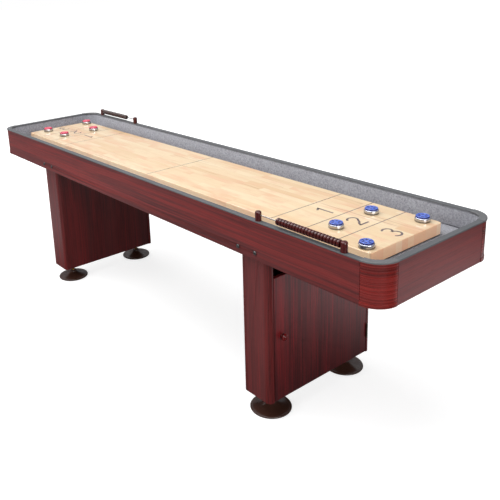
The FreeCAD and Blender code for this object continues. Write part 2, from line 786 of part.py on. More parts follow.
frame_leaves, pins = [], []
for end, sign, opposite, turn in ENDS:
    door_leaves = []
    for height, z in (("low", "HingeLow"), ("high", "HingeHigh")):
        tag = "%s_%s" % (end, height)
        spot = (sign + "AxisX", sign + "AxisY", z, turn)
        frame_leaves.append(place(hinge_leaf("frame_leaf_" + tag, False), *spot))
        door_leaves.append(place(hinge_leaf("door_leaf_" + tag, True), *spot))
        pins.append(place(turned("pin_" + tag, PIN), *spot))
    compound("hinge_door_leaves_" + end, door_leaves)
compound("hinge_frame_leaves_and_pins", frame_leaves + pins)

# ---------------------------------------------------------------- levelers
# Foot, radius and height: underside, upright rim, cone, hub, and a blind bore for the stud.
FOOT = [
    ("0", "0"), ("FootRadius - 3", "0"), ("FootRadius - 0.6", "1.2"), ("FootRadius", "3.5"),
    ("FootRadius - 0.4", "FootRim - 1.6"), ("FootRadius - 2", "FootRim"),
    ("FootRadius - 6", "FootRim"), ("FootRadius - 9", "FootRim - 1"),
    ("FootRadius * 0.6", "FootRim + 4.5"), ("FootHub + 12", "FootRim + 12"),
    ("FootHub + 2.5", "FootHigh - 12"), ("FootHub", "FootHigh - 7"),
    ("FootHub", "FootHigh - 1.5"), ("FootHub - 1.5", "FootHigh"),
    ("StudBore", "FootHigh"), ("StudBore", "StudLow - 2"), ("0", "StudLow - 2"),
]

# Stud, radius and height from its lower end; the collar meets the pedestal's bottom board.
STUD = [
    ("0", "0"), ("StudRadius - 1", "0"), ("StudRadius", "1"),
    ("StudRadius", "PedUnder - StudCollarHigh - StudLow"),
    ("StudCollar - 1", "PedUnder - StudCollarHigh - StudLow"),
    ("StudCollar", "PedUnder - StudCollarHigh - StudLow + 1"),
    ("StudCollar", "PedUnder - StudLow"), ("StudRadius", "PedUnder - StudLow"),
    ("StudRadius", "StudHigh - 1"), ("StudRadius - 1", "StudHigh"), ("0", "StudHigh"),
]

studs = []
for corner, x_sign, y_sign, _ in CORNERS:
    x, y = x_sign + "PedOffset", y_sign + "FootOffset"
    NODES.append(place(turned("foot_" + corner, FOOT), x, y, "0"))
    studs.append(place(turned("stud_" + corner, STUD), x, y, "StudLow"))
compound("leveler_studs", studs)

# ---------------------------------------------------------------- scorers
# Scorer post, radius and height from the tenon's lower end: tenon, shaft, domed top.
SCORER_POST = [
    ("0", "0"), ("TenonRadius", "0"), ("TenonRadius", "TenonLong"),
    ("ScorerPostRadius", "TenonLong"),
    ("ScorerPostRadius", "TenonLong + ScorerPostHigh - 6"),
    ("ScorerPostRadius - 0.8", "TenonLong + ScorerPostHigh - 3.2"),
    ("ScorerPostRadius - 3", "TenonLong + ScorerPostHigh - 1"),
    ("ScorerPostRadius - 6", "TenonLong + ScorerPostHigh - 0.1"),
    ("0", "TenonLong + ScorerPostHigh"),
]

# Bead, place along the wire and radius.
BEAD = [
    ("0.2", "BeadBore"), ("BeadThick - 0.2", "BeadBore"), ("BeadThick", "BeadBore + 2"),
    ("BeadThick", "BeadRadius - 4"), ("BeadThick - 1.2", "BeadRadius - 1.6"),
    ("BeadThick - 3.4", "BeadRadius - 0.2"), ("BeadThick / 2", "BeadRadius"),
    ("3.4", "BeadRadius - 0.2"), ("1.2", "BeadRadius - 1.6"), ("0", "BeadRadius - 4"),
    ("0", "BeadBore + 2"),
]


def scorer_post(side, y_sign, x_sign, turn, spot):
    """Post with a blind seat for the wire, on the side that faces the other post."""
    label = "scorer_%s_%s" % (side, spot.lower())
    body = turned(label, SCORER_POST)
    doc.recompute()
    faces_plus_x = spot == "PostNear"
    lift = "%s(ScorerPostRadius - WireSeat)" % ("" if faces_plus_x else "-")
    sketch = new_sketch(body, label + "_seat", "YZ_Plane", lift)
    circle(sketch, "WireRadius", None, "TenonLong + WireHigh")
    # the cut runs 2 mm past the post's surface
    pocket(body, sketch, "WireSeat + 2", label + "_seat_cut", along_normal=faces_plus_x)
    return place(body, x_sign + spot, y_sign + "ScorerOffset", "ScorerBase - TenonLong", turn)


def wire(side, y_sign, x_sign):
    """Straight wire between the posts, seated in both."""
    label = "wire_" + side
    body = new_body(label)
    sketch = new_sketch(body, label + "_section", "YZ_Plane")
    circle(sketch, "WireRadius")
    length = "PostEnd - PostNear - 2 * ScorerPostRadius + 2 * WireSeat"
    pad(body, sketch, length, label + "_pad").Midplane = True
    return place(body, "%s(PostEnd + PostNear) / 2" % x_sign, y_sign + "ScorerOffset", "WireZ")


def beads(side, y_sign, x_sign, turn):
    """A row of turned disc beads, pushed up to the outer post."""
    label = "beads_" + side
    body = turned(label, BEAD, "H_Axis")
    bead = body.Tip
    doc.recompute()
    row = body.newObject("PartDesign::LinearPattern", label + "_row")
    row.Originals = [bead]
    row.Direction = (origin_feature(body, "X_Axis"), [""])
    drive(row, "Length", "BeadPitch * (BeadCount - 1)")
    row.Occurrences = int(number("BeadCount"))
    row.setExpression("Occurrences", formula("BeadCount"))
    body.Tip = row
    doc.recompute()
    start = "%s(PostEnd - ScorerPostRadius - BeadPitch * BeadCount)" % x_sign
    return place(body, start, y_sign + "ScorerOffset", "WireZ", turn)


scorer_posts, wires = [], []
for side, y_sign, x_sign, turn in SIDES:
    for spot in ("PostNear", "PostEnd"):
        scorer_posts.append(scorer_post(side, y_sign, x_sign, turn, spot))
    wires.append(wire(side, y_sign, x_sign))
    NODES.append(beads(side, y_sign, x_sign, turn))
compound("scorer_posts", scorer_posts)
compound("scorer_wires", wires)

# ---------------------------------------------------------------- apron bolts
# Bolt, radius and height from the shank's tip; the head has a tapered recess.
BOLT = [
    ("0", "0"), ("BoltRadius - 0.8", "0"), ("BoltRadius", "0.8"), ("BoltRadius", "BoltLong"),
    ("BoltHead", "BoltLong"), ("BoltHead", "BoltLong + BoltHeadHigh - 1.5"),
    ("BoltHead - 1.5", "BoltLong + BoltHeadHigh"), ("3.2", "BoltLong + BoltHeadHigh"),
    ("2.6", "BoltLong + 1.6"), ("0", "BoltLong + 1.2"),
]

bolts = []
for side, y_sign, _, _ in SIDES:
    outward_turn = 90 if side == "near" else -90
    for spot in ("BoltInner", "BoltOuter"):
        for x_sign in ("", "-"):
            body = turned("bolt_%s_%s_%d" % (side, spot.lower(), len(bolts)), BOLT)
            bolts.append(place(body, x_sign + spot, "%s(ApronY - BoltLong)" % y_sign,
                               "BoltHeight", outward_turn, (1, 0, 0)))
compound("apron_bolts", bolts)

# ---------------------------------------------------------------- pucks
# Puck, x and y of its centre.
PUCKS = [
    ("blue_1", 1022.0, -99.0), ("blue_2", 1016.0, 100.0),
    ("blue_3", 1199.0, -161.0), ("blue_4", 1187.0, 159.0),
    ("red_1", -1184.0, -103.0), ("red_2", -998.0, -93.0),
    ("red_3", -1193.0, 161.0), ("red_4", -991.0, 96.0),
]

# Steel disc, radius and height: raised middle below, recess for the cap above.
PUCK_STEEL = [
    ("0", "0.6"), ("PuckRadius - 6", "0.6"), ("PuckRadius - 5", "0"),
    ("PuckRadius - 1.6", "0"), ("PuckRadius - 0.3", "0.9"), ("PuckRadius", "2.4"),
    ("PuckRadius", "PuckHigh - 3.4"), ("PuckRadius - 0.5", "PuckHigh - 1.4"),
    ("PuckRadius - 2", "PuckHigh"), ("PuckSeat", "PuckHigh"),
    ("PuckSeat", "PuckHigh - PuckSeatDeep"), ("0", "PuckHigh - PuckSeatDeep"),
]

# Plastic cap, radius and height: spigot, flange, shallow dish on top.
PUCK_CAP = [
    ("0", "0"), ("PuckSeat", "0"), ("PuckSeat", "PuckSeatDeep"),
    ("PuckCapRadius", "PuckSeatDeep"),
    ("PuckCapRadius", "PuckSeatDeep + PuckCapHigh - 2.5"),
    ("PuckCapRadius - 0.8", "PuckSeatDeep + PuckCapHigh - 0.8"),
    ("PuckCapRadius - 2.6", "PuckSeatDeep + PuckCapHigh"),
    ("PuckCapRadius - 7", "PuckSeatDeep + PuckCapHigh"),
    ("PuckCapRadius - 8.5", "PuckSeatDeep + PuckCapHigh - 1.4"),
    ("0", "PuckSeatDeep + PuckCapHigh - 1.4"),
]

for name, x, y in PUCKS:
    NODES.append(place(turned("puck_%s_steel" % name, PUCK_STEEL), x, y, "PlayTop"))
    NODES.append(place(turned("puck_%s_cap" % name, PUCK_CAP), x, y,
                       "PlayTop + PuckHigh - PuckSeatDeep"))

# ---------------------------------------------------------------- checks and export
doc.recompute()
failed = [(obj.Name, list(obj.State)) for obj in doc.Objects
          if any(word in str(state) for state in obj.State for word in ("Invalid", "Error"))]
if failed:
    raise RuntimeError("failed objects: %s" % failed)
for obj in NODES:
    if obj.Shape.isNull() or not obj.Shape.isValid() or not obj.Shape.Solids:
        raise RuntimeError("bad shape: " + obj.Label)
os.makedirs("parts", exist_ok=True)
for obj in NODES:
    obj.Shape.exportStep("parts/" + obj.Label + ".step")
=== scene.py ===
import bpy, bmesh, json, math, random
from mathutils import Vector, Matrix, noise as mnoise

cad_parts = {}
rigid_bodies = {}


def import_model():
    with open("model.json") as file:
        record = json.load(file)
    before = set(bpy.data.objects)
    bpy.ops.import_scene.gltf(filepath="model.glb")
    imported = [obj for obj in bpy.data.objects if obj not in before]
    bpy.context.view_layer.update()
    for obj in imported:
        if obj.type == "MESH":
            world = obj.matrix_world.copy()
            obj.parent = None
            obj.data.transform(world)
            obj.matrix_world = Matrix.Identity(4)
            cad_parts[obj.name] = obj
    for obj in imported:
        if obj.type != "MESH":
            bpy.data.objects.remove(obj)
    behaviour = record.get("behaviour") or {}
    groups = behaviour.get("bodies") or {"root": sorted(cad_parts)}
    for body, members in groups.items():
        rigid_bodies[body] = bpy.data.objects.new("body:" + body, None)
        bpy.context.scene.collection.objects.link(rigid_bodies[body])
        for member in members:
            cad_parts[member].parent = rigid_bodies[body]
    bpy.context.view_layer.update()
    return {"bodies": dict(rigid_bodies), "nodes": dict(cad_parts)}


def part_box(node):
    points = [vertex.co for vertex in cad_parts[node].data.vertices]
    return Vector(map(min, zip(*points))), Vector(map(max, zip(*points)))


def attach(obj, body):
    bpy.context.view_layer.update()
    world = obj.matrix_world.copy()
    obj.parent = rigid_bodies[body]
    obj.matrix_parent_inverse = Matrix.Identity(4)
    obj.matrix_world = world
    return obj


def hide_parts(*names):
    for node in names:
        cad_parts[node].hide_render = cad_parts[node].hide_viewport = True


# Shuffleboard table: finishes, felt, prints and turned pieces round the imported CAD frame. Metres, +Z up.

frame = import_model()
nodes = frame["nodes"]
scene = bpy.context.scene
MM = 0.001


# ------------------------------------------------------------------ node helpers
def mat_new(name):
    m = bpy.data.materials.new(name)
    m.use_nodes = True
    t = m.node_tree
    t.nodes.clear()
    out = t.nodes.new("ShaderNodeOutputMaterial")
    bsdf = t.nodes.new("ShaderNodeBsdfPrincipled")
    t.links.new(bsdf.outputs[0], out.inputs[0])
    return m, t, bsdf


def put(t, socket, v):
    if isinstance(v, bpy.types.NodeSocket):
        t.links.new(v, socket)
    elif v is not None:
        if isinstance(v, (tuple, list)) and socket.type == "RGBA" and len(v) == 3:
            v = (*v, 1.0)
        socket.default_value = v


def nd(t, kind, ins=None, **props):
    n = t.nodes.new(kind)
    for k, v in props.items():
        setattr(n, k, v)
    for k, v in (ins or {}).items():
        put(t, n.inputs[k], v)
    return n


def ma(t, op, a, b=None, c=None, clamp=False):
    n = nd(t, "ShaderNodeMath", operation=op, use_clamp=clamp)
    put(t, n.inputs[0], a)
    if b is not None:
        put(t, n.inputs[1], b)
    if c is not None:
        put(t, n.inputs[2], c)
    return n.outputs[0]


def mix(t, f, a, b, blend="MIX"):
    n = nd(t, "ShaderNodeMix", data_type="RGBA", blend_type=blend, clamp_factor=True)
    put(t, n.inputs[0], f)
    put(t, n.inputs[6], a)
    put(t, n.inputs[7], b)
    return n.outputs[2]


def maprange(t, v, a, b, c, d, smooth=False):
    n = nd(t, "ShaderNodeMapRange", interpolation_type="SMOOTHSTEP" if smooth else "LINEAR")
    for i, x in enumerate((v, a, b, c, d)):
        put(t, n.inputs[i], x)
    return n.outputs[0]


def ramp(t, f, stops, interp="LINEAR"):
    n = nd(t, "ShaderNodeValToRGB")
    n.color_ramp.interpolation = interp
    while len(n.color_ramp.elements) < len(stops):
        n.color_ramp.elements.new(0.5)
    for e, (p, c) in zip(n.color_ramp.elements, stops):
        e.position = p
        e.color = (*c, 1.0)
    put(t, n.inputs[0], f)
    return n.outputs[0]


def obj_coords(t):
    return nd(t, "ShaderNodeTexCoord").outputs["Object"]


def scaled(t, vec, s, loc=(0, 0, 0), rot=(0, 0, 0)):
    n = nd(t, "ShaderNodeMapping", vector_type="POINT")
    put(t, n.inputs["Vector"], vec)
    n.inputs["Scale"].default_value = s
    n.inputs["Location"].default_value = loc
    n.inputs["Rotation"].default_value = rot
    return n.outputs[0]


def noise(t, vec, scale=1.0, detail=3.0, rough=0.5, distort=0.0, out=0):
    n = nd(t, "ShaderNodeTexNoise", {"Vector": vec, "Scale": scale, "Detail": detail, "Roughness": rough, "Distortion": distort})
    return n.outputs[out]


def bump(t, height, strength, dist, normal=None):
    n = nd(t, "ShaderNodeBump", {"Height": height, "Strength": strength, "Distance": dist})
    if normal is not None:
        put(t, n.inputs["Normal"], normal)
    return n.outputs[0]


def srgb(r, g, b):
    def f(c):
        c /= 255.0
        return c / 12.92 if c <= 0.04045 else ((c + 0.055) / 1.055) ** 2.4
    return (f(r), f(g), f(b))


# ------------------------------------------------------------------ materials
def cherry(name, grain, dark, mid, light, seed=0.0, gloss=0.34, coat=0.25, band=1.0, painted_shade_z=None, painted_gap_shade_y=None):
    """Printed cherry laminate. grain is the axis, or axes, the grain runs along; a (low, high, tone) Z fade, when
    given, darkens the board towards black lower down, a painted shade;
    a Y, when given, is where the edge against the next board is darkened, painted shade of the gap between the boards."""
    m, t, p = mat_new(name)
    co = obj_coords(t)
    def st(low, high):
        return tuple(low if ax in grain else high for ax in "XYZ")
    off = (seed * 1.37, seed * 0.71, seed * 2.13)
    warp = noise(t, scaled(t, co, st(1.6, 6.0), off), 1.0, 2.0, 0.5, 0.0, 1)
    wv = nd(t, "ShaderNodeVectorMath", {0: warp, 1: (0.5, 0.5, 0.5)}, operation="SUBTRACT").outputs[0]
    wv = nd(t, "ShaderNodeVectorMath", {0: wv, "Scale": 0.022}, operation="SCALE").outputs[0]
    cw = nd(t, "ShaderNodeVectorMath", {0: co, 1: wv}, operation="ADD").outputs[0]
    broad = noise(t, scaled(t, cw, st(0.9, 12.0 * band), off), 1.0, 3.0, 0.55, 0.3)
    rings = noise(t, scaled(t, cw, st(1.7, 165.0 * band), (off[0] + 4, off[1], off[2])), 1.0, 4.0, 0.62, 0.5)
    fine = noise(t, scaled(t, cw, st(4.5, 420.0), off), 1.0, 3.0, 0.6)
    pores = noise(t, scaled(t, co, st(24.0, 1300.0), off), 1.0, 2.0, 0.5)
    a = maprange(t, broad, 0.32, 0.68, 0.0, 1.0, True)
    b = maprange(t, rings, 0.34, 0.66, 0.0, 1.0, True)
    c = ma(t, "ADD", ma(t, "MULTIPLY", a, 0.24), ma(t, "MULTIPLY", b, 0.40))
    c = ma(t, "ADD", c, ma(t, "MULTIPLY", fine, 0.36))
    col = ramp(t, c, [(0.14, dark), (0.50, mid), (0.86, light)])
    # a few redder lines between the darker ones, and a greyer veil that drifts over the print
    red = noise(t, scaled(t, cw, st(0.9, 150.0 * band), (off[0], off[1] + 3, off[2] + 5)), 1.0, 2.0, 0.5)
    col = mix(t, maprange(t, red, 0.56, 0.68, 0.0, 0.50, True), col, (light[0] * 1.10, light[1] * 0.75, light[2] * 0.75))
    veil = noise(t, scaled(t, cw, st(0.7, 9.0), (off[0], off[1] + 9, off[2])), 1.0, 2.0, 0.5)
    grey = tuple(0.62 * x + 0.38 * sum(mid) / 3 for x in mid)
    col = mix(t, maprange(t, veil, 0.46, 0.66, 0.0, 0.26, True), col, grey)
    line = maprange(t, pores, 0.56, 0.70, 0.0, 1.0, True)
    col = mix(t, ma(t, "MULTIPLY", line, 0.32), col, tuple(x * 0.35 for x in dark))
    # painted shade: the board fades towards black lower down
    if painted_shade_z:
        z = nd(t, "ShaderNodeSeparateXYZ", {0: co}).outputs[2]
        col = mix(t, maprange(t, z, painted_shade_z[0], painted_shade_z[1], 1.0 - painted_shade_z[2], 0.0), col, (0.0, 0.0, 0.0))
    # painted shade: a dark band at the edge beyond the given Y, the shade of the gap against the next board
    if painted_gap_shade_y:
        y = nd(t, "ShaderNodeSeparateXYZ", {0: co}).outputs[1]
        col = mix(t, maprange(t, y, painted_gap_shade_y - 0.0015, painted_gap_shade_y + 0.0015, 0.0, 0.85, True), col, tuple(x * 0.15 for x in dark))
    put(t, p.inputs["Base Color"], col)
    r = maprange(t, rings, 0.3, 0.7, gloss - 0.05, gloss + 0.07)
    put(t, p.inputs["Roughness"], ma(t, "ADD", r, ma(t, "MULTIPLY", line, 0.10)))
    put(t, p.inputs["Coat Weight"], coat)
    put(t, p.inputs["Coat Roughness"], 0.20)
    h = ma(t, "SUBTRACT", ma(t, "MULTIPLY", fine, 0.5), line)
    put(t, p.inputs["Normal"], bump(t, h, 0.25, 0.00008))
    return m


def turned_wood(name, axis, dark, mid, gloss=0.22, coat=0.85):
    m, t, p = mat_new(name)
    co = obj_coords(t)
    s = tuple(14.0 if ax == axis else 210.0 for ax in "XYZ")
    g = noise(t, scaled(t, co, s), 1.0, 4.0, 0.6, 0.5)
    tone = noise(t, scaled(t, co, (45.0, 45.0, 45.0)), 1.0, 2.0, 0.5)
    v = ma(t, "ADD", ma(t, "MULTIPLY", g, 0.75), ma(t, "MULTIPLY", tone, 0.35))
    put(t, p.inputs["Base Color"], ramp(t, v, [(0.32, dark), (0.72, mid)]))
    put(t, p.inputs["Roughness"], maprange(t, g, 0.3, 0.7, gloss, gloss + 0.12))
    put(t, p.inputs["Coat Weight"], coat)
    put(t, p.inputs["Coat Roughness"], 0.07)
    put(t, p.inputs["Specular IOR Level"], 0.3)
    put(t, p.inputs["Normal"], bump(t, g, 0.15, 0.0001))
    return m


def butcher_block(name):
    """Maple staves along X, each with its own tone and figure, under a thick clear coat."""
    m, t, p = mat_new(name)
    co = obj_coords(t)
    sep = nd(t, "ShaderNodeSeparateXYZ", {0: co})
    x, y, z = sep.outputs
    row_f = ma(t, "DIVIDE", ma(t, "ADD", y, 0.195), 0.0325)
    row = ma(t, "FLOOR", row_f)
    rrow = nd(t, "ShaderNodeTexWhiteNoise", {"W": ma(t, "ADD", row, 17.3)}, noise_dimensions="1D")
    rlen = nd(t, "ShaderNodeTexWhiteNoise", {"W": ma(t, "ADD", row, 71.9)}, noise_dimensions="1D")
    length = maprange(t, rlen.outputs[0], 0.0, 1.0, 0.32, 0.58)
    col_f = ma(t, "ADD", ma(t, "DIVIDE", ma(t, "ADD", x, 2.0), length), ma(t, "MULTIPLY", rrow.outputs[0], 7.0))
    col = ma(t, "FLOOR", col_f)
    cell = nd(t, "ShaderNodeCombineXYZ", {0: row, 1: col, 2: 3.7})
    r1 = nd(t, "ShaderNodeTexWhiteNoise", {"Vector": cell.outputs[0]}, noise_dimensions="3D")
    rc = nd(t, "ShaderNodeSeparateColor", {0: r1.outputs["Color"]})
    shift = nd(t, "ShaderNodeVectorMath", {0: r1.outputs["Color"], "Scale": 9.0}, operation="SCALE").outputs[0]
    local = nd(t, "ShaderNodeVectorMath", {0: co, 1: shift}, operation="ADD").outputs[0]
    warp = noise(t, scaled(t, local, (3.0, 14.0, 14.0)), 1.0, 2.0, 0.5, 0.0, 1)
    wv = nd(t, "ShaderNodeVectorMath", {0: warp, "Scale": 0.02}, operation="SCALE").outputs[0]
    lw = nd(t, "ShaderNodeVectorMath", {0: local, 1: wv}, operation="ADD").outputs[0]
    figure = noise(t, scaled(t, lw, (4.5, 70.0, 70.0)), 1.0, 4.0, 0.55, 0.6)
    fine = noise(t, scaled(t, lw, (18.0, 520.0, 520.0)), 1.0, 3.0, 0.6)
    blotch = noise(t, scaled(t, local, (5.5, 9.0, 9.0)), 1.0, 3.0, 0.5, 0.4)
    base = ramp(t, rc.outputs[0], [(0.0, srgb(241, 213, 172)), (0.30, srgb(244, 219, 180)), (0.62, srgb(247, 225, 189)), (0.86, srgb(240, 209, 167)), (1.0, srgb(234, 198, 155))])
    warm = mix(t, maprange(t, blotch, 0.46, 0.70, 0.0, 0.75, True), base, srgb(238, 190, 152))
    warm = mix(t, maprange(t, figure, 0.50, 0.74, 0.0, 0.34, True), warm, srgb(226, 180, 134))
    warm = mix(t, maprange(t, fine, 0.52, 0.75, 0.0, 0.22, True), warm, srgb(200, 150, 105))
    # a few mineral streaks, in some staves only
    streak = noise(t, scaled(t, lw, (2.2, 120.0, 120.0), (3, 5, 1)), 1.0, 2.0, 0.5)
    some = maprange(t, rc.outputs[1], 0.80, 0.84, 0.0, 1.0)
    warm = mix(t, ma(t, "MULTIPLY", some, maprange(t, streak, 0.60, 0.72, 0.0, 0.5, True)), warm, srgb(170, 118, 84))
    # glue lines between staves and butt joints along them
    fy = ma(t, "ABSOLUTE", ma(t, "SUBTRACT", ma(t, "FRACT", row_f), 0.5))
    fx = ma(t, "ABSOLUTE", ma(t, "SUBTRACT", ma(t, "FRACT", col_f), 0.5))
    gy = maprange(t, fy, 0.486, 0.5, 0.0, 1.0)
    gx = maprange(t, fx, 0.4985, 0.5, 0.0, 1.0)
    glue = ma(t, "MULTIPLY", ma(t, "MAXIMUM", gy, gx), 0.26)
    warm = mix(t, glue, warm, srgb(165, 116, 80))
    # end grain is a little deeper in tone
    geo = nd(t, "ShaderNodeNewGeometry")
    nxyz = nd(t, "ShaderNodeSeparateXYZ", {0: geo.outputs["True Normal"]})
    end_grain_and_glow = maprange(t, ma(t, "ABSOLUTE", nxyz.outputs[0]), 0.6, 0.95, 0.0, 1.0)
    side_face_glow = maprange(t, ma(t, "ABSOLUTE", nxyz.outputs[1]), 0.6, 0.95, 0.0, 1.0)
    endt = ramp(t, rc.outputs[2], [(0.0, srgb(252, 204, 160)), (0.35, srgb(240, 178, 132)), (0.7, srgb(250, 194, 146)), (1.0, srgb(254, 220, 186))])
    endc = mix(t, 0.84, warm, endt)
    warm = mix(t, end_grain_and_glow, warm, endc)
    put(t, p.inputs["Base Color"], warm)
    # painted light: the slab's end and side faces glow warm by emission, which brightens them
    put(t, p.inputs["Emission Color"], mix(t, side_face_glow, mix(t, 0.5, endc, srgb(250, 194, 150)), mix(t, 0.5, warm, (1.0, 0.68, 0.44))))
    put(t, p.inputs["Emission Strength"], ma(t, "ADD", ma(t, "MULTIPLY", end_grain_and_glow, 0.27), ma(t, "MULTIPLY", side_face_glow, 0.28)))
    put(t, p.inputs["Roughness"], maprange(t, figure, 0.3, 0.7, 0.34, 0.46))
    put(t, p.inputs["Coat Weight"], 1.0)
    wear = noise(t, scaled(t, co, (6.0, 22.0, 6.0)), 1.0, 3.0, 0.6)
    put(t, p.inputs["Coat Roughness"], maprange(t, wear, 0.35, 0.7, 0.035, 0.09))
    put(t, p.inputs["Normal"], bump(t, fine, 0.08, 0.00006))
    level = noise(t, scaled(t, co, (9.0, 9.0, 9.0)), 1.0, 1.0, 0.4)
    put(t, p.inputs["Coat Normal"], bump(t, level, 0.10, 0.0006))
    return m


def felt(name, base=(0.5, 0.5, 0.52)):
    """Needle-felt gutter carpet: matted fibres, darker pits and paler strands."""
    m, t, p = mat_new(name)
    co = obj_coords(t)
    clump = noise(t, scaled(t, co, (140.0,) * 3), 1.0, 3.0, 0.6, 0.6)
    fib1 = noise(t, scaled(t, co, (900.0, 260.0, 900.0), (0, 0, 0), (0.4, 0.9, 0.3)), 1.0, 3.0, 0.65, 1.2)
    fib2 = noise(t, scaled(t, co, (260.0, 900.0, 900.0), (5, 2, 1), (0.9, 0.2, 0.8)), 1.0, 3.0, 0.65, 1.2)
    f = ma(t, "MAXIMUM", fib1, fib2)
    wide = noise(t, scaled(t, co, (7.0,) * 3), 1.0, 2.0, 0.5)
    v = ma(t, "ADD", ma(t, "MULTIPLY", clump, 0.5), ma(t, "MULTIPLY", f, 0.5))
    dark = tuple(x * 0.40 for x in base)
    lite = tuple(min(1.0, x * 1.55) for x in base)
    col = ramp(t, v, [(0.36, dark), (0.52, base), (0.68, lite)])
    col = mix(t, maprange(t, wide, 0.35, 0.65, 0.0, 0.16), col, tuple(x * 0.72 for x in base))
    fz = nd(t, "ShaderNodeSeparateXYZ", {0: co}).outputs[2]
    # painted shadow: the felt darkens sharply in its top few millimetres, the shade under the rail's lip
    col = mix(t, maprange(t, fz, 0.7915, 0.7972, 0.0, 0.66, True), col, tuple(x * 0.10 for x in base))
    put(t, p.inputs["Base Color"], col)
    put(t, p.inputs["Roughness"], 0.95)
    put(t, p.inputs["Specular IOR Level"], 0.15)
    put(t, p.inputs["Sheen Weight"], 0.35)
    put(t, p.inputs["Sheen Roughness"], 0.5)
    put(t, p.inputs["Sheen Tint"], (0.85, 0.86, 0.9, 1.0))
    put(t, p.inputs["Normal"], bump(t, v, 0.9, 0.0011))
    return m


def plastic(name, color, rough=0.35, texture=900.0, tex_depth=0.00005, coat=0.0, var=0.12, spec=0.5):
    m, t, p = mat_new(name)
    co = obj_coords(t)
    big = noise(t, scaled(t, co, (11.0,) * 3), 1.0, 3.0, 0.55)
    tex = noise(t, scaled(t, co, (texture,) * 3), 1.0, 3.0, 0.6)
    lo = tuple(x * (1 - var) for x in color)
    hi = tuple(min(1.0, x * (1 + var)) for x in color)
    col = ramp(t, ma(t, "ADD", ma(t, "MULTIPLY", big, 0.7), ma(t, "MULTIPLY", tex, 0.3)), [(0.3, lo), (0.7, hi)])
    put(t, p.inputs["Base Color"], col)
    put(t, p.inputs["Roughness"], maprange(t, big, 0.3, 0.7, rough - 0.05, rough + 0.06))
    put(t, p.inputs["Specular IOR Level"], spec)
    put(t, p.inputs["Coat Weight"], coat)
    put(t, p.inputs["Coat Roughness"], 0.05)
    put(t, p.inputs["Normal"], bump(t, tex, 0.3, tex_depth))
    return m


def puck_chrome(name):
    """Polished steel disc: its colour runs from dark low on the side to bright at the upper rim, a painted reflection;
    smudges and fine turning marks.
    """
    m, t, p = mat_new(name)
    co = obj_coords(t)
    z = nd(t, "ShaderNodeSeparateXYZ", {0: co}).outputs[2]
    b = noise(t, scaled(t, co, (220.0, 220.0, 2600.0)), 1.0, 3.0, 0.6)
    smudge = noise(t, scaled(t, co, (70.0,) * 3), 1.0, 3.0, 0.6)
    # painted reflection: the steel's colour darkens from the upper rim down the side, with random smudges
    h = ma(t, "ADD", maprange(t, z, 0.774, 0.789, 0.0, 1.0), ma(t, "MULTIPLY", ma(t, "SUBTRACT", smudge, 0.5), 0.35))
    put(t, p.inputs["Base Color"], ramp(t, h, [(0.0, (0.14, 0.14, 0.15)), (0.24, (0.20, 0.20, 0.21)), (0.44, (0.46, 0.46, 0.47)), (0.72, (0.62, 0.62, 0.64)), (1.0, (0.80, 0.80, 0.83))]))
    put(t, p.inputs["Metallic"], 1.0)
    put(t, p.inputs["Roughness"], ma(t, "ADD", maprange(t, smudge, 0.3, 0.7, 0.13, 0.24), ma(t, "MULTIPLY", b, 0.04)))
    put(t, p.inputs["Normal"], bump(t, b, 0.2, 0.00001))
    return m


def cap_plastic(name, low, high):
    """Moulded puck cap: colour darker low in the dish between the ribs and paler on the raised ribs and rim, a painted
    shade; fine scuffs.
    """
    m, t, p = mat_new(name)
    co = obj_coords(t)
    z = nd(t, "ShaderNodeSeparateXYZ", {0: co}).outputs[2]
    tex = noise(t, scaled(t, co, (900.0,) * 3), 1.0, 3.0, 0.6)
    scuff = noise(t, scaled(t, co, (130.0, 700.0, 130.0), (0, 0, 0), (0, 0, 0.7)), 1.0, 3.0, 0.6)
    # painted shade: the cap's colour follows height, dark down in the dish between the ribs, pale on the raised ribs
    # and rim
    h = ma(t, "ADD", maprange(t, z, 0.7934, 0.7956, 0.0, 1.0, True), ma(t, "MULTIPLY", ma(t, "SUBTRACT", tex, 0.5), 0.30))
    side = maprange(t, z, 0.7885, 0.7905, 1.0, 0.0, True)
    put(t, p.inputs["Base Color"], ramp(t, ma(t, "MAXIMUM", h, side), [(0.0, low), (1.0, high)]))
    put(t, p.inputs["Roughness"], maprange(t, scuff, 0.35, 0.7, 0.20, 0.36))
    put(t, p.inputs["Coat Weight"], 0.35)
    put(t, p.inputs["Coat Roughness"], 0.08)
    put(t, p.inputs["Normal"], bump(t, tex, 0.25, 0.00003))
    return m


def metal(name, color, rough=0.2, brush=None, depth=0.00002, var=0.08):
    m, t, p = mat_new(name)
    co = obj_coords(t)
    s = brush or (160.0, 160.0, 1400.0)
    b = noise(t, scaled(t, co, s), 1.0, 3.0, 0.6)
    smudge = noise(t, scaled(t, co, (60.0,) * 3), 1.0, 3.0, 0.6)
    lo = tuple(x * (1 - var) for x in color)
    put(t, p.inputs["Base Color"], ramp(t, smudge, [(0.3, lo), (0.65, color)]))
    put(t, p.inputs["Metallic"], 1.0)
    put(t, p.inputs["Roughness"], ma(t, "ADD", maprange(t, smudge, 0.3, 0.7, rough * 0.75, rough * 1.3), ma(t, "MULTIPLY", b, 0.04)))
    put(t, p.inputs["Normal"], bump(t, b, 0.2, depth))
    return m


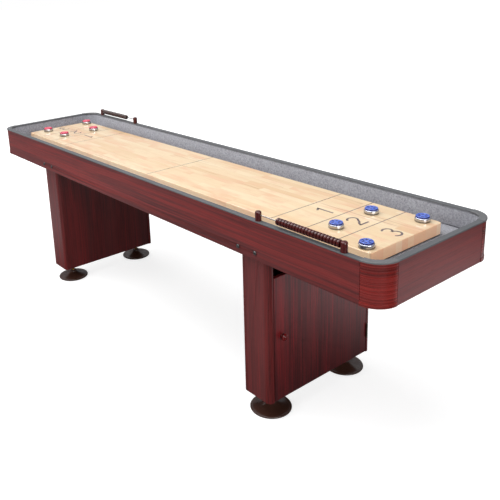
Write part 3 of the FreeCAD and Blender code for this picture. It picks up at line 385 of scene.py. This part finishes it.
def board_mat(name, color):
    m, t, p = mat_new(name)
    co = obj_coords(t)
    chips = nd(t, "ShaderNodeTexVoronoi", {"Vector": scaled(t, co, (420.0, 420.0, 700.0)), "Scale": 1.0, "Randomness": 1.0}, feature="F1")
    g = noise(t, scaled(t, co, (60.0,) * 3), 1.0, 4.0, 0.6)
    v = nd(t, "ShaderNodeSeparateColor", {0: chips.outputs["Color"]}).outputs[0]
    v = ma(t, "ADD", ma(t, "MULTIPLY", v, 0.6), ma(t, "MULTIPLY", g, 0.4))
    put(t, p.inputs["Base Color"], ramp(t, v, [(0.2, tuple(x * 0.6 for x in color)), (0.8, tuple(min(1, x * 1.4) for x in color))]))
    put(t, p.inputs["Roughness"], 0.7)
    put(t, p.inputs["Normal"], bump(t, v, 0.5, 0.0003))
    return m


M = {}
M["apron_x"] = cherry("cherry_apron", "XY", srgb(58, 20, 22), srgb(102, 37, 37), srgb(136, 46, 44), 1.0, 0.33, 0.20)
# end aprons: a lighter, greyer copy of the apron laminate, a painted sheen, with painted shade of the joint gap at
# their far edge
M["apron_y"] = cherry("cherry_end_apron", "XY", srgb(82, 30, 32), srgb(112, 42, 42), srgb(132, 52, 51), 2.0, 0.36, 0.25, 1.25, None, 0.2262)
M["corner"] = cherry("cherry_corner", "XY", srgb(80, 17, 15), srgb(117, 28, 24), srgb(150, 40, 34), 5.0, 0.27, 0.45, 1.4)
M["side"] = cherry("cherry_side_panel", "Z", srgb(66, 26, 27), srgb(101, 42, 42), srgb(126, 46, 46), 9.0, 0.36, 0.2)
M["inner"] = cherry("cherry_inner_panel", "Z", srgb(60, 18, 19), srgb(92, 30, 31), srgb(122, 35, 36), 13.0, 0.36, 0.2, 1.1)
# the door fades to black lower down, a painted shade
M["door"] = cherry("cherry_door", "Z", srgb(70, 19, 21), srgb(116, 35, 38), srgb(172, 42, 48), 21.0, 0.34, 0.30, 1.2, (0.06, 0.58, 0.34))
M["post"] = cherry("cherry_post", "Z", srgb(56, 14, 15), srgb(98, 27, 27), srgb(124, 33, 32), 31.0, 0.30, 0.35, 1.2)
M["bead"] = turned_wood("lacquered_cherry_beads", "X", srgb(20, 4, 4), srgb(84, 15, 12), 0.18, 0.55)
M["bead_far"] = turned_wood("lacquered_dark_beads", "X", srgb(28, 17, 15), srgb(72, 48, 43), 0.22)
M["turned"] = turned_wood("lacquered_cherry", "Z", srgb(26, 5, 5), srgb(92, 17, 15), 0.20, 0.55)
M["knob"] = turned_wood("lacquered_cherry_knob", "X", srgb(46, 7, 8), srgb(124, 22, 22), 0.20, 0.35)
M["board"] = board_mat("cabinet_board", srgb(86, 58, 50))
M["spacer"] = board_mat("spacer_strip", srgb(196, 162, 124))
M["play"] = butcher_block("maple_butcher_block")
M["ink"] = plastic("printed_ink", srgb(112, 95, 97), 0.30, 700.0, 0.00001, 1.0, 0.10)
M["rail"] = plastic("grey_rail_moulding", srgb(93, 95, 98), 0.32, 1500.0, 0.00003, 0.05, 0.08, 0.30)
M["cap"] = plastic("grey_corner_cap", srgb(104, 105, 107), 0.38, 1700.0, 0.00005, 0.05, 0.08, 0.30)
M["felt"] = felt("gutter_felt", srgb(157, 158, 165))
M["hinge"] = metal("hinge_steel", srgb(150, 140, 125), 0.32, (900.0, 900.0, 60.0))
M["enamel"] = plastic("leveler_enamel", srgb(60, 36, 28), 0.32, 260.0, 0.00006, 0.45, 0.25, 0.35)
M["zinc"] = metal("yellow_zinc_stud", srgb(206, 170, 96), 0.30, (400.0, 400.0, 400.0), 0.00003, 0.25)
M["wire"] = metal("bright_wire", srgb(168, 166, 166), 0.22, (30.0, 1400.0, 1400.0))
M["bolt"] = metal("zinc_bolt", srgb(130, 130, 130), 0.30, (500.0, 500.0, 500.0))
M["chrome"] = puck_chrome("puck_chrome")
M["blue"] = cap_plastic("puck_blue_plastic", srgb(14, 26, 104), srgb(84, 114, 210))
M["red"] = cap_plastic("puck_red_plastic", srgb(150, 22, 48), srgb(230, 86, 114))


def finish_node(name, material, soften=None):
    """Give a CAD node its finish; soften eases a board's sharp edges by a modifier."""
    o = nodes[name]
    o.data.materials.clear()
    o.data.materials.append(material)
    if soften:
        for p in o.data.polygons:
            p.use_smooth = False
        cn = o.data.attributes.get("custom_normal")
        if cn is not None:
            o.data.attributes.remove(cn)
        w = o.modifiers.new("weld", "WELD")
        w.merge_threshold = 1e-6
        b = o.modifiers.new("eased", "BEVEL")
        b.width = soften
        b.segments = 2
        b.limit_method = "ANGLE"
        b.angle_limit = math.radians(40)
    return o


for n in ("side_apron_near", "side_apron_far"):
    finish_node(n, M["apron_x"], 0.0012)
for n in ("end_apron_right", "end_apron_left"):
    finish_node(n, M["apron_y"], 0.0012)
for n in ("right_far", "left_far", "left_near", "right_near"):
    finish_node("corner_apron_" + n, M["corner"])
for n in ("side_rail_near", "side_rail_far", "end_rail_right", "end_rail_left"):
    finish_node(n, M["rail"])
finish_node("corner_caps", M["cap"])
finish_node("cabinet_floor", M["board"], 0.0006)
finish_node("playfield", M["play"])
finish_node("playfield_spacers", M["spacer"], 0.0004)
for e in ("right", "left"):
    finish_node("pedestal_%s_side_near" % e, M["side"], 0.0006)
    finish_node("pedestal_%s_side_far" % e, M["side"], 0.0006)
    finish_node("pedestal_%s_inner_panel" % e, M["inner"], 0.0006)
    finish_node("pedestal_%s_bottom" % e, M["board"], 0.0005)
    finish_node("door_" + e, M["door"], 0.0006)
    finish_node("hinge_door_leaves_" + e, M["hinge"])
finish_node("corner_posts", M["post"])
finish_node("hinge_frame_leaves_and_pins", M["hinge"])
finish_node("beads_near", M["bead"])
finish_node("beads_far", M["bead_far"])
finish_node("scorer_posts", M["turned"])
finish_node("scorer_wires", M["wire"])
finish_node("apron_bolts", M["bolt"])


# ------------------------------------------------------------------ mesh helpers
def make(name, verts, faces, material, smooth=True, sharp=None):
    me = bpy.data.meshes.new(name)
    me.from_pydata([tuple(v) for v in verts], [], faces)
    me.validate()
    me.materials.append(material)
    if smooth:
        for p in me.polygons:
            p.use_smooth = True
        if sharp:
            me.set_sharp_from_angle(angle=math.radians(sharp))
    o = bpy.data.objects.new(name, me)
    scene.collection.objects.link(o)
    return o


def lathe(profile, steps, place, warp=None):
    """Verts and faces of a profile [(r, h)] turned about h; place maps (x, y, h) to the row frame.
    A profile that starts and ends on the axis closes the solid."""
    verts, faces, rings = [], [], []
    for k, (r, h) in enumerate(profile):
        if r < 1e-9:
            rings.append([len(verts)])
            verts.append(place(0.0, 0.0, h))
        else:
            ring = []
            for i in range(steps):
                a = 2 * math.pi * i / steps
                rr, hh = (r, h) if warp is None else warp(k, r, h, a)
                ring.append(len(verts))
                verts.append(place(rr * math.cos(a), rr * math.sin(a), hh))
            rings.append(ring)
    for a, b in zip(rings, rings[1:]):
        for i in range(steps):
            j = (i + 1) % steps
            if len(a) == 1:
                faces.append((a[0], b[j], b[i]))
            elif len(b) == 1:
                faces.append((a[i], a[j], b[0]))
            else:
                faces.append((a[i], a[j], b[j], b[i]))
    return verts, faces


def rounded(points, radii, seg=5):
    """Profile polyline with its corners rounded: radii[i] rounds points[i]."""
    out = []
    n = len(points)
    for i, (p, r) in enumerate(zip(points, radii)):
        if r <= 0 or i in (0, n - 1):
            out.append(p)
            continue
        a, b, c = Vector(points[i - 1]), Vector(p), Vector(points[i + 1])
        u, v = (a - b), (c - b)
        d = min(r, u.length * 0.49, v.length * 0.49)
        u, v = b + u.normalized() * d, b + v.normalized() * d
        for k in range(seg + 1):
            s = k / seg
            q = u * (1 - s) ** 2 + b * 2 * s * (1 - s) + v * s ** 2
            out.append((q.x, q.y))
    return out


# ------------------------------------------------------------------ gutter felt
L, Wd, R = 1350.5 * MM, 290.0 * MM, 61.0 * MM


def clamp_outline(x, y, half_l, half_w, r):
    cx, cy = half_l - r, half_w - r
    ax, ay = abs(x), abs(y)
    if ax > cx and ay > cy:
        dx, dy = ax - cx, ay - cy
        d = math.hypot(dx, dy)
        if d > r:
            ax, ay = cx + dx * r / d, cy + dy * r / d
    ax, ay = min(ax, half_l), min(ay, half_w)
    return math.copysign(ax, x), math.copysign(ay, y)


def felt_bumps(p):
    a = mnoise.noise(p * 95.0)
    b = mnoise.noise(p * 260.0 + Vector((7, 3, 1)))
    c = mnoise.noise(p * 14.0 + Vector((1, 9, 4)))
    return 0.45 * a + 0.35 * b + 0.35 * c


def felt_floor():
    nx, ny = 432, 92
    verts, faces = [], []
    z0, z1 = 726.0 * MM, 729.0 * MM
    top, bot = [], []
    for j in range(ny + 1):
        for i in range(nx + 1):
            x, y = -L + 2 * L * i / nx, -Wd + 2 * Wd * j / ny
            x, y = clamp_outline(x, y, L - 0.00005, Wd - 0.00005, R)
            h = 0.0
            if abs(x) > 1.22 or abs(y) > 0.165:
                h = 0.00035 + 0.00045 * felt_bumps(Vector((x, y, z1)))
                h = max(0.0, min(0.0011, h))
            top.append(len(verts))
            verts.append((x, y, z1 - h))
            bot.append(len(verts))
            verts.append((x, y, z0 + 0.00005))
    w = nx + 1
    for j in range(ny):
        for i in range(nx):
            a, b, c, d = j * w + i, j * w + i + 1, (j + 1) * w + i + 1, (j + 1) * w + i
            faces.append((top[a], top[b], top[c], top[d]))
            faces.append((bot[a], bot[d], bot[c], bot[b]))
    for i in range(nx):
        faces.append((top[i + 1], top[i], bot[i], bot[i + 1]))
        a, b = ny * w + i, ny * w + i + 1
        faces.append((top[a], top[b], bot[b], bot[a]))
    for j in range(ny):
        a, b = j * w, (j + 1) * w
        faces.append((top[a], top[b], bot[b], bot[a]))
        a, b = j * w + nx, (j + 1) * w + nx
        faces.append((top[b], top[a], bot[a], bot[b]))
    o = make("carpet_floor_felt", verts, faces, M["felt"])
    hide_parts("carpet_floor")
    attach(o, "table")
    return o


def perimeter(half_l, half_w, r, step):
    """Points and outward normals round a rounded rectangle."""
    pts = []
    cx, cy = half_l - r, half_w - r
    def line(p, q, n):
        k = max(1, int(round((Vector(q) - Vector(p)).length / step)))
        for i in range(k):
            s = i / k
            pts.append(((p[0] * (1 - s) + q[0] * s, p[1] * (1 - s) + q[1] * s), n))
    def arc(c, a0):
        k = max(6, int(round(r * math.pi / 2 / step)))
        for i in range(k):
            a = a0 + math.pi / 2 * i / k
            pts.append(((c[0] + r * math.cos(a), c[1] + r * math.sin(a)), (math.cos(a), math.sin(a))))
    line((half_l, -cy), (half_l, cy), (1, 0))
    arc((cx, cy), 0)
    line((cx, half_w), (-cx, half_w), (0, 1))
    arc((-cx, cy), math.pi / 2)
    line((-half_l, cy), (-half_l, -cy), (-1, 0))
    arc((-cx, -cy), math.pi)
    line((-cx, -half_w), (cx, -half_w), (0, -1))
    arc((cx, -cy), 1.5 * math.pi)
    return pts


def felt_wall():
    pts = perimeter(L - 0.00005, Wd - 0.00005, R, 0.0055)
    z0, z1 = 729.05 * MM, 799.95 * MM
    rows = 13
    verts, faces = [], []
    prof = [(0.0, z0), (0.0, z1)] + [(2.6 * MM, z1 - (z1 - z0) * k / rows) for k in range(rows + 1)]
    n = len(prof)
    for (px, py), (nx, ny) in pts:
        for k, (d, z) in enumerate(prof):
            if k >= 2:
                q = Vector((px, py, z))
                edge = min(1.0, min(z - z0, z1 - z) / 0.002 + 0.25)
                d = d + 0.00055 * felt_bumps(q) * edge - (0.0006 if k in (2, n - 1) else 0.0)
            verts.append((px - nx * d, py - ny * d, z))
    m = len(pts)
    for i in range(m):
        a, b = i * n, ((i + 1) % m) * n
        for k in range(n):
            q = (k + 1) % n
            faces.append((a + k, a + q, b + q, b + k))
    o = make("carpet_wall_felt", verts, faces, M["felt"])
    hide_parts("carpet_wall")
    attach(o, "table")
    return o


felt_floor()
felt_wall()


# ------------------------------------------------------------------ printed lines and numerals
def ribbon(path, width):
    """Left and right edges of a stroke drawn along path with square ends."""
    left, right = [], []
    n = len(path)
    for i, p in enumerate(path):
        a = Vector(path[max(0, i - 1)])
        b = Vector(path[min(n - 1, i + 1)])
        d = (b - a).normalized()
        nrm = Vector((-d.y, d.x))
        s = 1.0
        if 0 < i < n - 1:
            d1 = (Vector(p) - a).normalized()
            s = 1.0 / max(0.55, abs(nrm.dot(Vector((-d1.y, d1.x)))))
        left.append(Vector(p) + nrm * width / 2 * s)
        right.append(Vector(p) - nrm * width / 2 * s)
    return left, right


def arc_pts(cx, cy, rx, ry, a0, a1, n):
    return [(cx + rx * math.cos(math.radians(a0 + (a1 - a0) * i / n)), cy + ry * math.sin(math.radians(a0 + (a1 - a0) * i / n))) for i in range(n + 1)]


# strokes in a box 40 wide and 64 high, centred on the origin, baseline at -32
GLYPHS = {
    "1": [[(3.0, -32.0), (3.0, 32.0)], [(4.0, 29.2), (-2.0, 23.5), (-12.0, 18.5)]],
    "2": [arc_pts(0, 14.5, 16.5, 14.2, 165, -38, 26) + [(2.0, -8.0), (-12.0, -20.5), (-16.5, -28.8)], [(-20.2, -28.8), (19.5, -28.8)]],
    "3": [arc_pts(-1, 15.5, 15.0, 13.2, 150, -82, 24), arc_pts(-1, -13.0, 17.5, 16.0, 82, -150, 28)],
}


def play_print():
    verts, faces = [], []
    z0, z1 = 774.0 * MM + 0.00001, 774.0 * MM + 0.00007

    def slab(left, right, to):
        base = len(verts)
        n = len(left)
        for z in (z0, z1):
            for p, q in zip(left, right):
                verts.append((*to(p), z))
                verts.append((*to(q), z))
        top = base + 2 * n
        for i in range(n - 1):
            a = 2 * i
            faces.append((base + a, base + a + 2, base + a + 3, base + a + 1))
            faces.append((top + a, top + a + 1, top + a + 3, top + a + 2))
            faces.append((base + a, top + a, top + a + 2, base + a + 2))
            faces.append((base + a + 1, base + a + 3, top + a + 3, top + a + 1))
        faces.append((base, base + 1, top + 1, top))
        e = 2 * (n - 1)
        faces.append((base + e, top + e, top + e + 1, base + e + 1))

    def flat(p):
        return (p[0] * MM, p[1] * MM)
    half = 193.2
    for x in (-1095, -951, -800, 0, 800, 951, 1095):
        left, right = ribbon([(x, -half), (x, half)], 3.8)
        slab(left, right, flat)
    for sign in (1, -1):
        for g, x in (("1", 882), ("2", 1029), ("3", 1178)):
            for stroke in GLYPHS[g]:
                stroke = [(px * 1.22, py * 1.22) for px, py in stroke]
                left, right = ribbon(stroke, 8.0)
                # upright for a player at that end: glyph up points to the table's middle
                slab(left, right, lambda p, x=x, s=sign: (s * (x - p[1]) * MM, s * p[0] * MM))
    o = make("playfield_print", verts, faces, M["ink"], smooth=False)
    bm = bmesh.new()
    bm.from_mesh(o.data)
    bmesh.ops.recalc_face_normals(bm, faces=bm.faces)
    bm.to_mesh(o.data)
    bm.free()
    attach(o, "table")
    return o


play_print()


# ------------------------------------------------------------------ levelers
def foot(name):
    lo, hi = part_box("foot_" + name)
    cx, cy = (lo.x + hi.x) / 2, (lo.y + hi.y) / 2
    pts = [(0.0, 0.2), (76.5, 0.2), (80.9, 2.6), (80.9, 6.2), (78.4, 9.0), (74.6, 9.0), (71.6, 8.0), (60.0, 9.6), (46.0, 13.6), (33.0, 19.4), (23.5, 25.4), (18.6, 30.6), (17.2, 35.0), (16.8, 38.4), (15.4, 39.9), (8.07, 39.9), (8.07, 8.0), (0.0, 8.0)]
    rad = [0, 0, 2.4, 2.4, 1.8, 1.4, 1.4, 3, 4, 4, 3, 2, 2, 1, 0.8, 0.3, 0, 0]
    prof = [(r * MM, h * MM) for r, h in rounded(pts, rad, 4)]
    v, f = lathe(prof, 96, lambda x, y, h: (cx + x, cy + y, h))
    o = make("foot_%s_dish" % name, v, f, M["enamel"], sharp=50)
    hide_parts("foot_" + name)
    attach(o, "leveler_" + name)


for n in ("right_far", "left_far", "left_near", "right_near"):
    foot(n)


def studs():
    """Threaded studs with a hexagon collar, all four in one node like the CAD."""
    verts, faces = [], []
    for sx in (1, -1):
        for sy in (1, -1):
            cx, cy = sx * 0.808, sy * 0.215
            steps, pitch = 32, 1.75
            z0, z1 = 10.0, 66.0
            turns = (z1 - z0) / pitch
            base = len(verts)
            # thread surface: rings at each step of the helix, crest and root alternating along z
            rows = int(turns * 6)
            for k in range(rows + 1):
                z = z0 + (z1 - z0) * k / rows
                for i in range(steps):
                    a = 2 * math.pi * i / steps
                    ph = ((z / pitch) - i / steps) % 1.0
                    tri = abs(ph * 2 - 1)
                    r = 7.05 + 0.93 * min(1.0, max(0.0, (tri - 0.12) / 0.76))
                    taper = min(1.0, (z - z0) / 1.5 + 0.88)
                    verts.append((cx + r * taper * MM * math.cos(a), cy + r * taper * MM * math.sin(a), z * MM))
            for k in range(rows):
                for i in range(steps):
                    j = (i + 1) % steps
                    faces.append((base + k * steps + i, base + k * steps + j, base + (k + 1) * steps + j, base + (k + 1) * steps + i))
            faces.append(tuple(base + i for i in reversed(range(steps))))
            faces.append(tuple(base + rows * steps + i for i in range(steps)))
            # hexagon collar with chamfered corners
            base = len(verts)
            def hexr(a, flat):
                a = (a + math.pi / 6) % (math.pi / 3) - math.pi / 6
                return min(flat / math.cos(a), 12.9)
            n = 72
            levels = [(66.0, 10.6), (66.9, 11.25), (77.1, 11.25), (78.0, 10.6)]
            for z, fl in levels:
                for i in range(n):
                    a = 2 * math.pi * i / n
                    r = hexr(a, fl) if fl > 11 else min(hexr(a, 11.25), fl + 0.9)
                    verts.append((cx + r * MM * math.cos(a), cy + r * MM * math.sin(a), z * MM))
            for k in range(len(levels) - 1):
                for i in range(n):
                    j = (i + 1) % n
                    faces.append((base + k * n + i, base + k * n + j, base + (k + 1) * n + j, base + (k + 1) * n + i))
            faces.append(tuple(base + i for i in reversed(range(n))))
            faces.append(tuple(base + (len(levels) - 1) * n + i for i in range(n)))
            # shank in the bottom board
            v, f = lathe([(0, 0.078), (0.0079, 0.078), (0.0079, 0.0955), (0, 0.0955)], 32, lambda x, y, h: (cx + x, cy + y, h))
            b = len(verts)
            verts.extend(v)
            faces.extend(tuple(b + q for q in ff) for ff in f)
    o = make("leveler_studs_threaded", verts, faces, M["zinc"], sharp=35)
    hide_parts("leveler_studs")
    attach(o, "table")


studs()


# ------------------------------------------------------------------ pucks
def puck(name, x, y):
    color = M["blue"] if name.startswith("blue") else M["red"]
    body = "puck_" + name
    lo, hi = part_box("puck_%s_steel" % name)
    cx, cy, z0 = (lo.x + hi.x) / 2, (lo.y + hi.y) / 2, 774.0
    pts = [(0, 0.6), (21.0, 0.6), (22.0, 0.02), (25.6, 0.02), (26.95, 1.6), (26.95, 12.4), (25.6, 14.9), (23.6, 14.98), (20.0, 14.98), (20.0, 11.0), (0, 11.0)]
    rad = [0, 0.3, 0.4, 1.2, 1.2, 1.6, 1.2, 0.6, 0.3, 0, 0]
    prof = [(r * MM, (z0 + h) * MM) for r, h in rounded(pts, rad, 4)]
    v, f = lathe(prof, 96, lambda a, b, h: (cx + a, cy + b, h))
    o = make("puck_%s_disc" % name, v, f, M["chrome"], sharp=40)
    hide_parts("puck_%s_steel" % name)
    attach(o, body)
    # cap: raised rim, a shallow dish with a ring of moulded ribs, and a low centre boss
    pts = [(0, 11.0), (19.98, 11.0), (19.98, 15.02), (23.95, 15.02), (23.95, 18.2), (23.5, 19.9), (22.6, 21.1), (21.4, 21.8), (20.2, 21.98), (19.1, 21.5), (18.3, 20.5), (17.7, 19.7), (16.4, 19.6), (15.0, 19.6), (13.6, 19.6), (12.2, 19.6), (10.8, 19.6), (9.6, 19.6), (8.8, 19.8), (8.1, 20.7), (7.0, 21.3), (4.2, 21.7), (0, 21.85)]
    prof = [(r * MM, (z0 + h) * MM) for r, h in pts]
    ribs = 6

    def warp(k, r, h, a):
        rm = r / MM
        if 9.0 < rm < 18.0 and k > 9:
            s = abs(((a * ribs / (2 * math.pi)) % 1.0) - 0.5)
            up = max(0.0, min(1.0, (0.27 - s) / 0.08))
            ends = max(0.0, min(1.0, (rm - 9.0) / 0.7)) * max(0.0, min(1.0, (18.0 - rm) / 0.5))
            h = h + 1.6 * MM * up * ends
        return r, h
    v, f = lathe(prof, 144, lambda a, b, h: (cx + a, cy + b, h), warp)
    o = make("puck_%s_top" % name, v, f, color, sharp=50)
    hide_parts("puck_%s_cap" % name)
    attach(o, body)


for c in ("blue", "red"):
    for i in range(1, 5):
        puck("%s_%d" % (c, i), 0, 0)


# ------------------------------------------------------------------ knobs
def knob(end):
    lo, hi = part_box("knob_" + end)
    cy, cz = (lo.y + hi.y) / 2, (lo.z + hi.z) / 2
    s = 1 if end == "right" else -1
    pts = [(0, 865.2), (3.98, 865.2), (3.98, 881.0), (8.0, 881.0), (8.2, 882.2), (6.4, 884.6), (6.9, 887.4), (8.6, 889.0), (12.2, 891.0), (13.9, 895.0), (12.9, 898.9), (10.0, 901.4), (6.4, 902.6), (5.6, 902.1), (4.6, 902.9), (0, 903.4)]
    rad = [0, 0, 0, 0.3, 0.6, 2.0, 1.4, 1.2, 2.4, 3.0, 2.4, 1.8, 0.6, 0.4, 0.5, 0]
    prof = [(r * MM, h * MM) for r, h in rounded(pts, rad, 5)]
    v, f = lathe(prof, 72, lambda a, b, h: (s * h, cy + a, cz + s * b))
    o = make("knob_%s_turned" % end, v, f, M["knob"], sharp=60)
    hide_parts("knob_" + end)
    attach(o, "door_%s_assembly" % end)


knob("right")
knob("left")


# ------------------------------------------------------------------ stage, light, camera
def stage_floor():
    me = bpy.data.meshes.new("stage_floor")
    s = 40.0
    me.from_pydata([(-s, -s, 0), (s, -s, 0), (s, s, 0), (-s, s, 0)], [], [(0, 1, 2, 3)])
    o = bpy.data.objects.new("stage_floor", me)
    scene.collection.objects.link(o)
    m, t, p = mat_new("stage_floor")
    out = [n for n in t.nodes if n.type == "OUTPUT_MATERIAL"][0]
    # seen directly the floor is plain and nearly white, paler still away from the table; the diffuse light it throws
    # back is softer, and in glossy rays it glows in patches, a painted reflection on the door, the end aprons and the
    # pedestals
    pos = nd(t, "ShaderNodeNewGeometry").outputs["Position"]
    far = nd(t, "ShaderNodeVectorMath", {0: pos}, operation="LENGTH").outputs["Value"]
    lit = nd(t, "ShaderNodeBsdfDiffuse", {"Color": (0.50, 0.50, 0.50, 1)})
    glow = nd(t, "ShaderNodeEmission", {"Color": (1, 1, 1, 1), "Strength": maprange(t, far, 1.2, 3.6, 0.72, 1.0, True)})
    add = nd(t, "ShaderNodeAddShader", {0: lit.outputs[0], 1: glow.outputs[0]})
    bounce = nd(t, "ShaderNodeBsdfDiffuse", {"Color": (0.36, 0.355, 0.35, 1)})
    # painted reflection: in glossy rays the floor glows brightest in a patch off the +X end, in one beside the left
    # pedestal and more towards the near side
    away = nd(t, "ShaderNodeVectorMath", {0: pos, 1: (1.65, 1.15, 0.0)}, operation="DISTANCE").outputs["Value"]
    left = nd(t, "ShaderNodeVectorMath", {0: pos, 1: (-1.8, -0.75, 0.0)}, operation="DISTANCE").outputs["Value"]
    py = nd(t, "ShaderNodeSeparateXYZ", {0: pos}).outputs[1]
    level = ma(t, "ADD", maprange(t, away, 0.15, 1.2, 0.92, 0.0, True), maprange(t, py, -0.9, -0.3, 0.24, 0.06, True))
    level = ma(t, "ADD", level, maprange(t, left, 0.2, 1.1, 0.26, 0.0, True))
    sheen = nd(t, "ShaderNodeEmission", {"Color": (0.96, 0.97, 1, 1), "Strength": level})
    path = nd(t, "ShaderNodeLightPath")
    soft = nd(t, "ShaderNodeMixShader", {0: path.outputs["Is Glossy Ray"], 1: bounce.outputs[0], 2: sheen.outputs[0]})
    mx = nd(t, "ShaderNodeMixShader", {0: path.outputs["Is Camera Ray"], 1: soft.outputs[0], 2: add.outputs[0]})
    t.links.new(mx.outputs[0], out.inputs[0])
    me.materials.append(m)
    # the floor stays under the lowest leveler at every pose
    fc = o.driver_add("location", 2)
    d = fc.driver
    d.type = "MIN"
    for i, n in enumerate(("right_far", "left_far", "left_near", "right_near")):
        v = d.variables.new()
        v.name = "f%d" % i
        v.type = "TRANSFORMS"
        v.targets[0].id = frame["bodies"]["leveler_" + n]
        v.targets[0].transform_type = "LOC_Z"
        v.targets[0].transform_space = "WORLD_SPACE"
    return o


stage_floor()

world = bpy.data.worlds.new("studio")
scene.world = world
world.use_nodes = True
wt = world.node_tree
wt.nodes.clear()
wout = wt.nodes.new("ShaderNodeOutputWorld")
wc = nd(wt, "ShaderNodeTexCoord")
wz = nd(wt, "ShaderNodeSeparateXYZ", {0: wc.outputs["Generated"]}).outputs[2]
up01 = maprange(wt, wz, -0.1, 1.0, 0.0, 1.0)
soft_sky = nd(wt, "ShaderNodeBackground", {"Color": ramp(wt, up01, [(0.0, (0.50, 0.50, 0.50)), (0.35, (0.55, 0.55, 0.56)), (1.0, (1.0, 1.0, 1.0))]), "Strength": 0.42})
# what polished metal and lacquer see: a dim horizon, a bright ceiling
shiny_sky = nd(wt, "ShaderNodeBackground", {"Color": ramp(wt, up01, [(0.0, (0.16, 0.16, 0.17)), (0.16, (0.14, 0.14, 0.15)), (0.30, (0.42, 0.42, 0.44)), (0.42, (0.26, 0.26, 0.27)), (0.62, (0.75, 0.76, 0.78)), (1.0, (1.0, 1.0, 1.0))]), "Strength": 0.85})
lp = nd(wt, "ShaderNodeLightPath")
bg = nd(wt, "ShaderNodeMixShader", {0: lp.outputs["Is Glossy Ray"], 1: soft_sky.outputs[0], 2: shiny_sky.outputs[0]})
cam_bg = nd(wt, "ShaderNodeBackground", {"Color": (1, 1, 1, 1), "Strength": 1.0})
wm = nd(wt, "ShaderNodeMixShader", {0: lp.outputs["Is Camera Ray"], 1: bg.outputs[0], 2: cam_bg.outputs[0]})
wt.links.new(wm.outputs[0], wout.inputs[0])


def area(name, loc, target, size, power, size_y=None):
    li = bpy.data.lights.new(name, "AREA")
    li.shape = "RECTANGLE"
    li.size = size
    li.size_y = size_y or size
    li.energy = power
    o = bpy.data.objects.new(name, li)
    scene.collection.objects.link(o)
    o.location = loc
    d = Vector(target) - Vector(loc)
    o.rotation_mode = "QUATERNION"
    o.rotation_quaternion = d.to_track_quat("-Z", "Y")
    o.visible_camera = False
    return o


area("key_overhead", (-0.5, -0.7, 3.5), (-0.3, 0.0, 0.6), 5.2, 142.0, 2.6)
area("fill_near", (-0.8, -4.2, 1.7), (0.0, 0.0, 0.6), 3.2, 34.0, 1.8).visible_glossy = False
area("fill_back", (0.0, 4.4, 1.8), (0.0, 0.0, 0.5), 3.6, 30.0, 1.6).visible_glossy = False
area("fill_far_end", (-4.4, 0.6, 1.5), (-0.9, 0.0, 0.6), 2.0, 24.0, 1.2).visible_glossy = False
area("fill_end", (4.4, -1.0, 1.5), (0.9, 0.0, 0.6), 2.0, 56.0, 1.2)
area("fill_left", (-2.5, -2.7, 1.2), (-0.8, -0.3, 0.45), 1.6, 46.0, 1.2).visible_glossy = False

cam = bpy.data.cameras.new("camera")
cam.sensor_width = 36.0
cam.lens = 669.2938 / 500.0 * 36.0
cam.clip_start, cam.clip_end = 0.05, 100.0
co = bpy.data.objects.new("camera", cam)
scene.collection.objects.link(co)
right = Vector((0.6084172, 0.7922635, -0.0463358))
fwd = Vector((-0.7712768, 0.5765257, -0.2697224))
up = right.cross(fwd)
rot = Matrix((right, up, -fwd)).transposed().to_4x4()
CAM = (2.448470, -1.786389, 1.633116)
co.matrix_world = Matrix.Translation(CAM) @ rot


def shifted(path, amount):
    """A rising-front lens from this standpoint only; a camera placed anywhere else looks straight ahead."""
    fc = cam.driver_add(path)
    d = fc.driver
    d.type = "SCRIPTED"
    for n, t in (("x", "LOC_X"), ("z", "LOC_Z")):
        v = d.variables.new()
        v.name = n
        v.type = "TRANSFORMS"
        v.targets[0].id = co
        v.targets[0].transform_type = t
        v.targets[0].transform_space = "WORLD_SPACE"
    d.expression = "%.6f if abs(x - %.6f) + abs(z - %.6f) < 0.001 else 0.0" % (amount, CAM[0], CAM[2])


shifted("shift_x", (250.0 - 188.395) / 500.0)
shifted("shift_y", (162.887 - 250.0) / 500.0)
scene.camera = co

scene.view_settings.view_transform = "Standard"
scene.view_settings.look = "None"
scene.view_settings.exposure = 0.0
scene.view_settings.gamma = 1.0

bpy.context.view_layer.update()
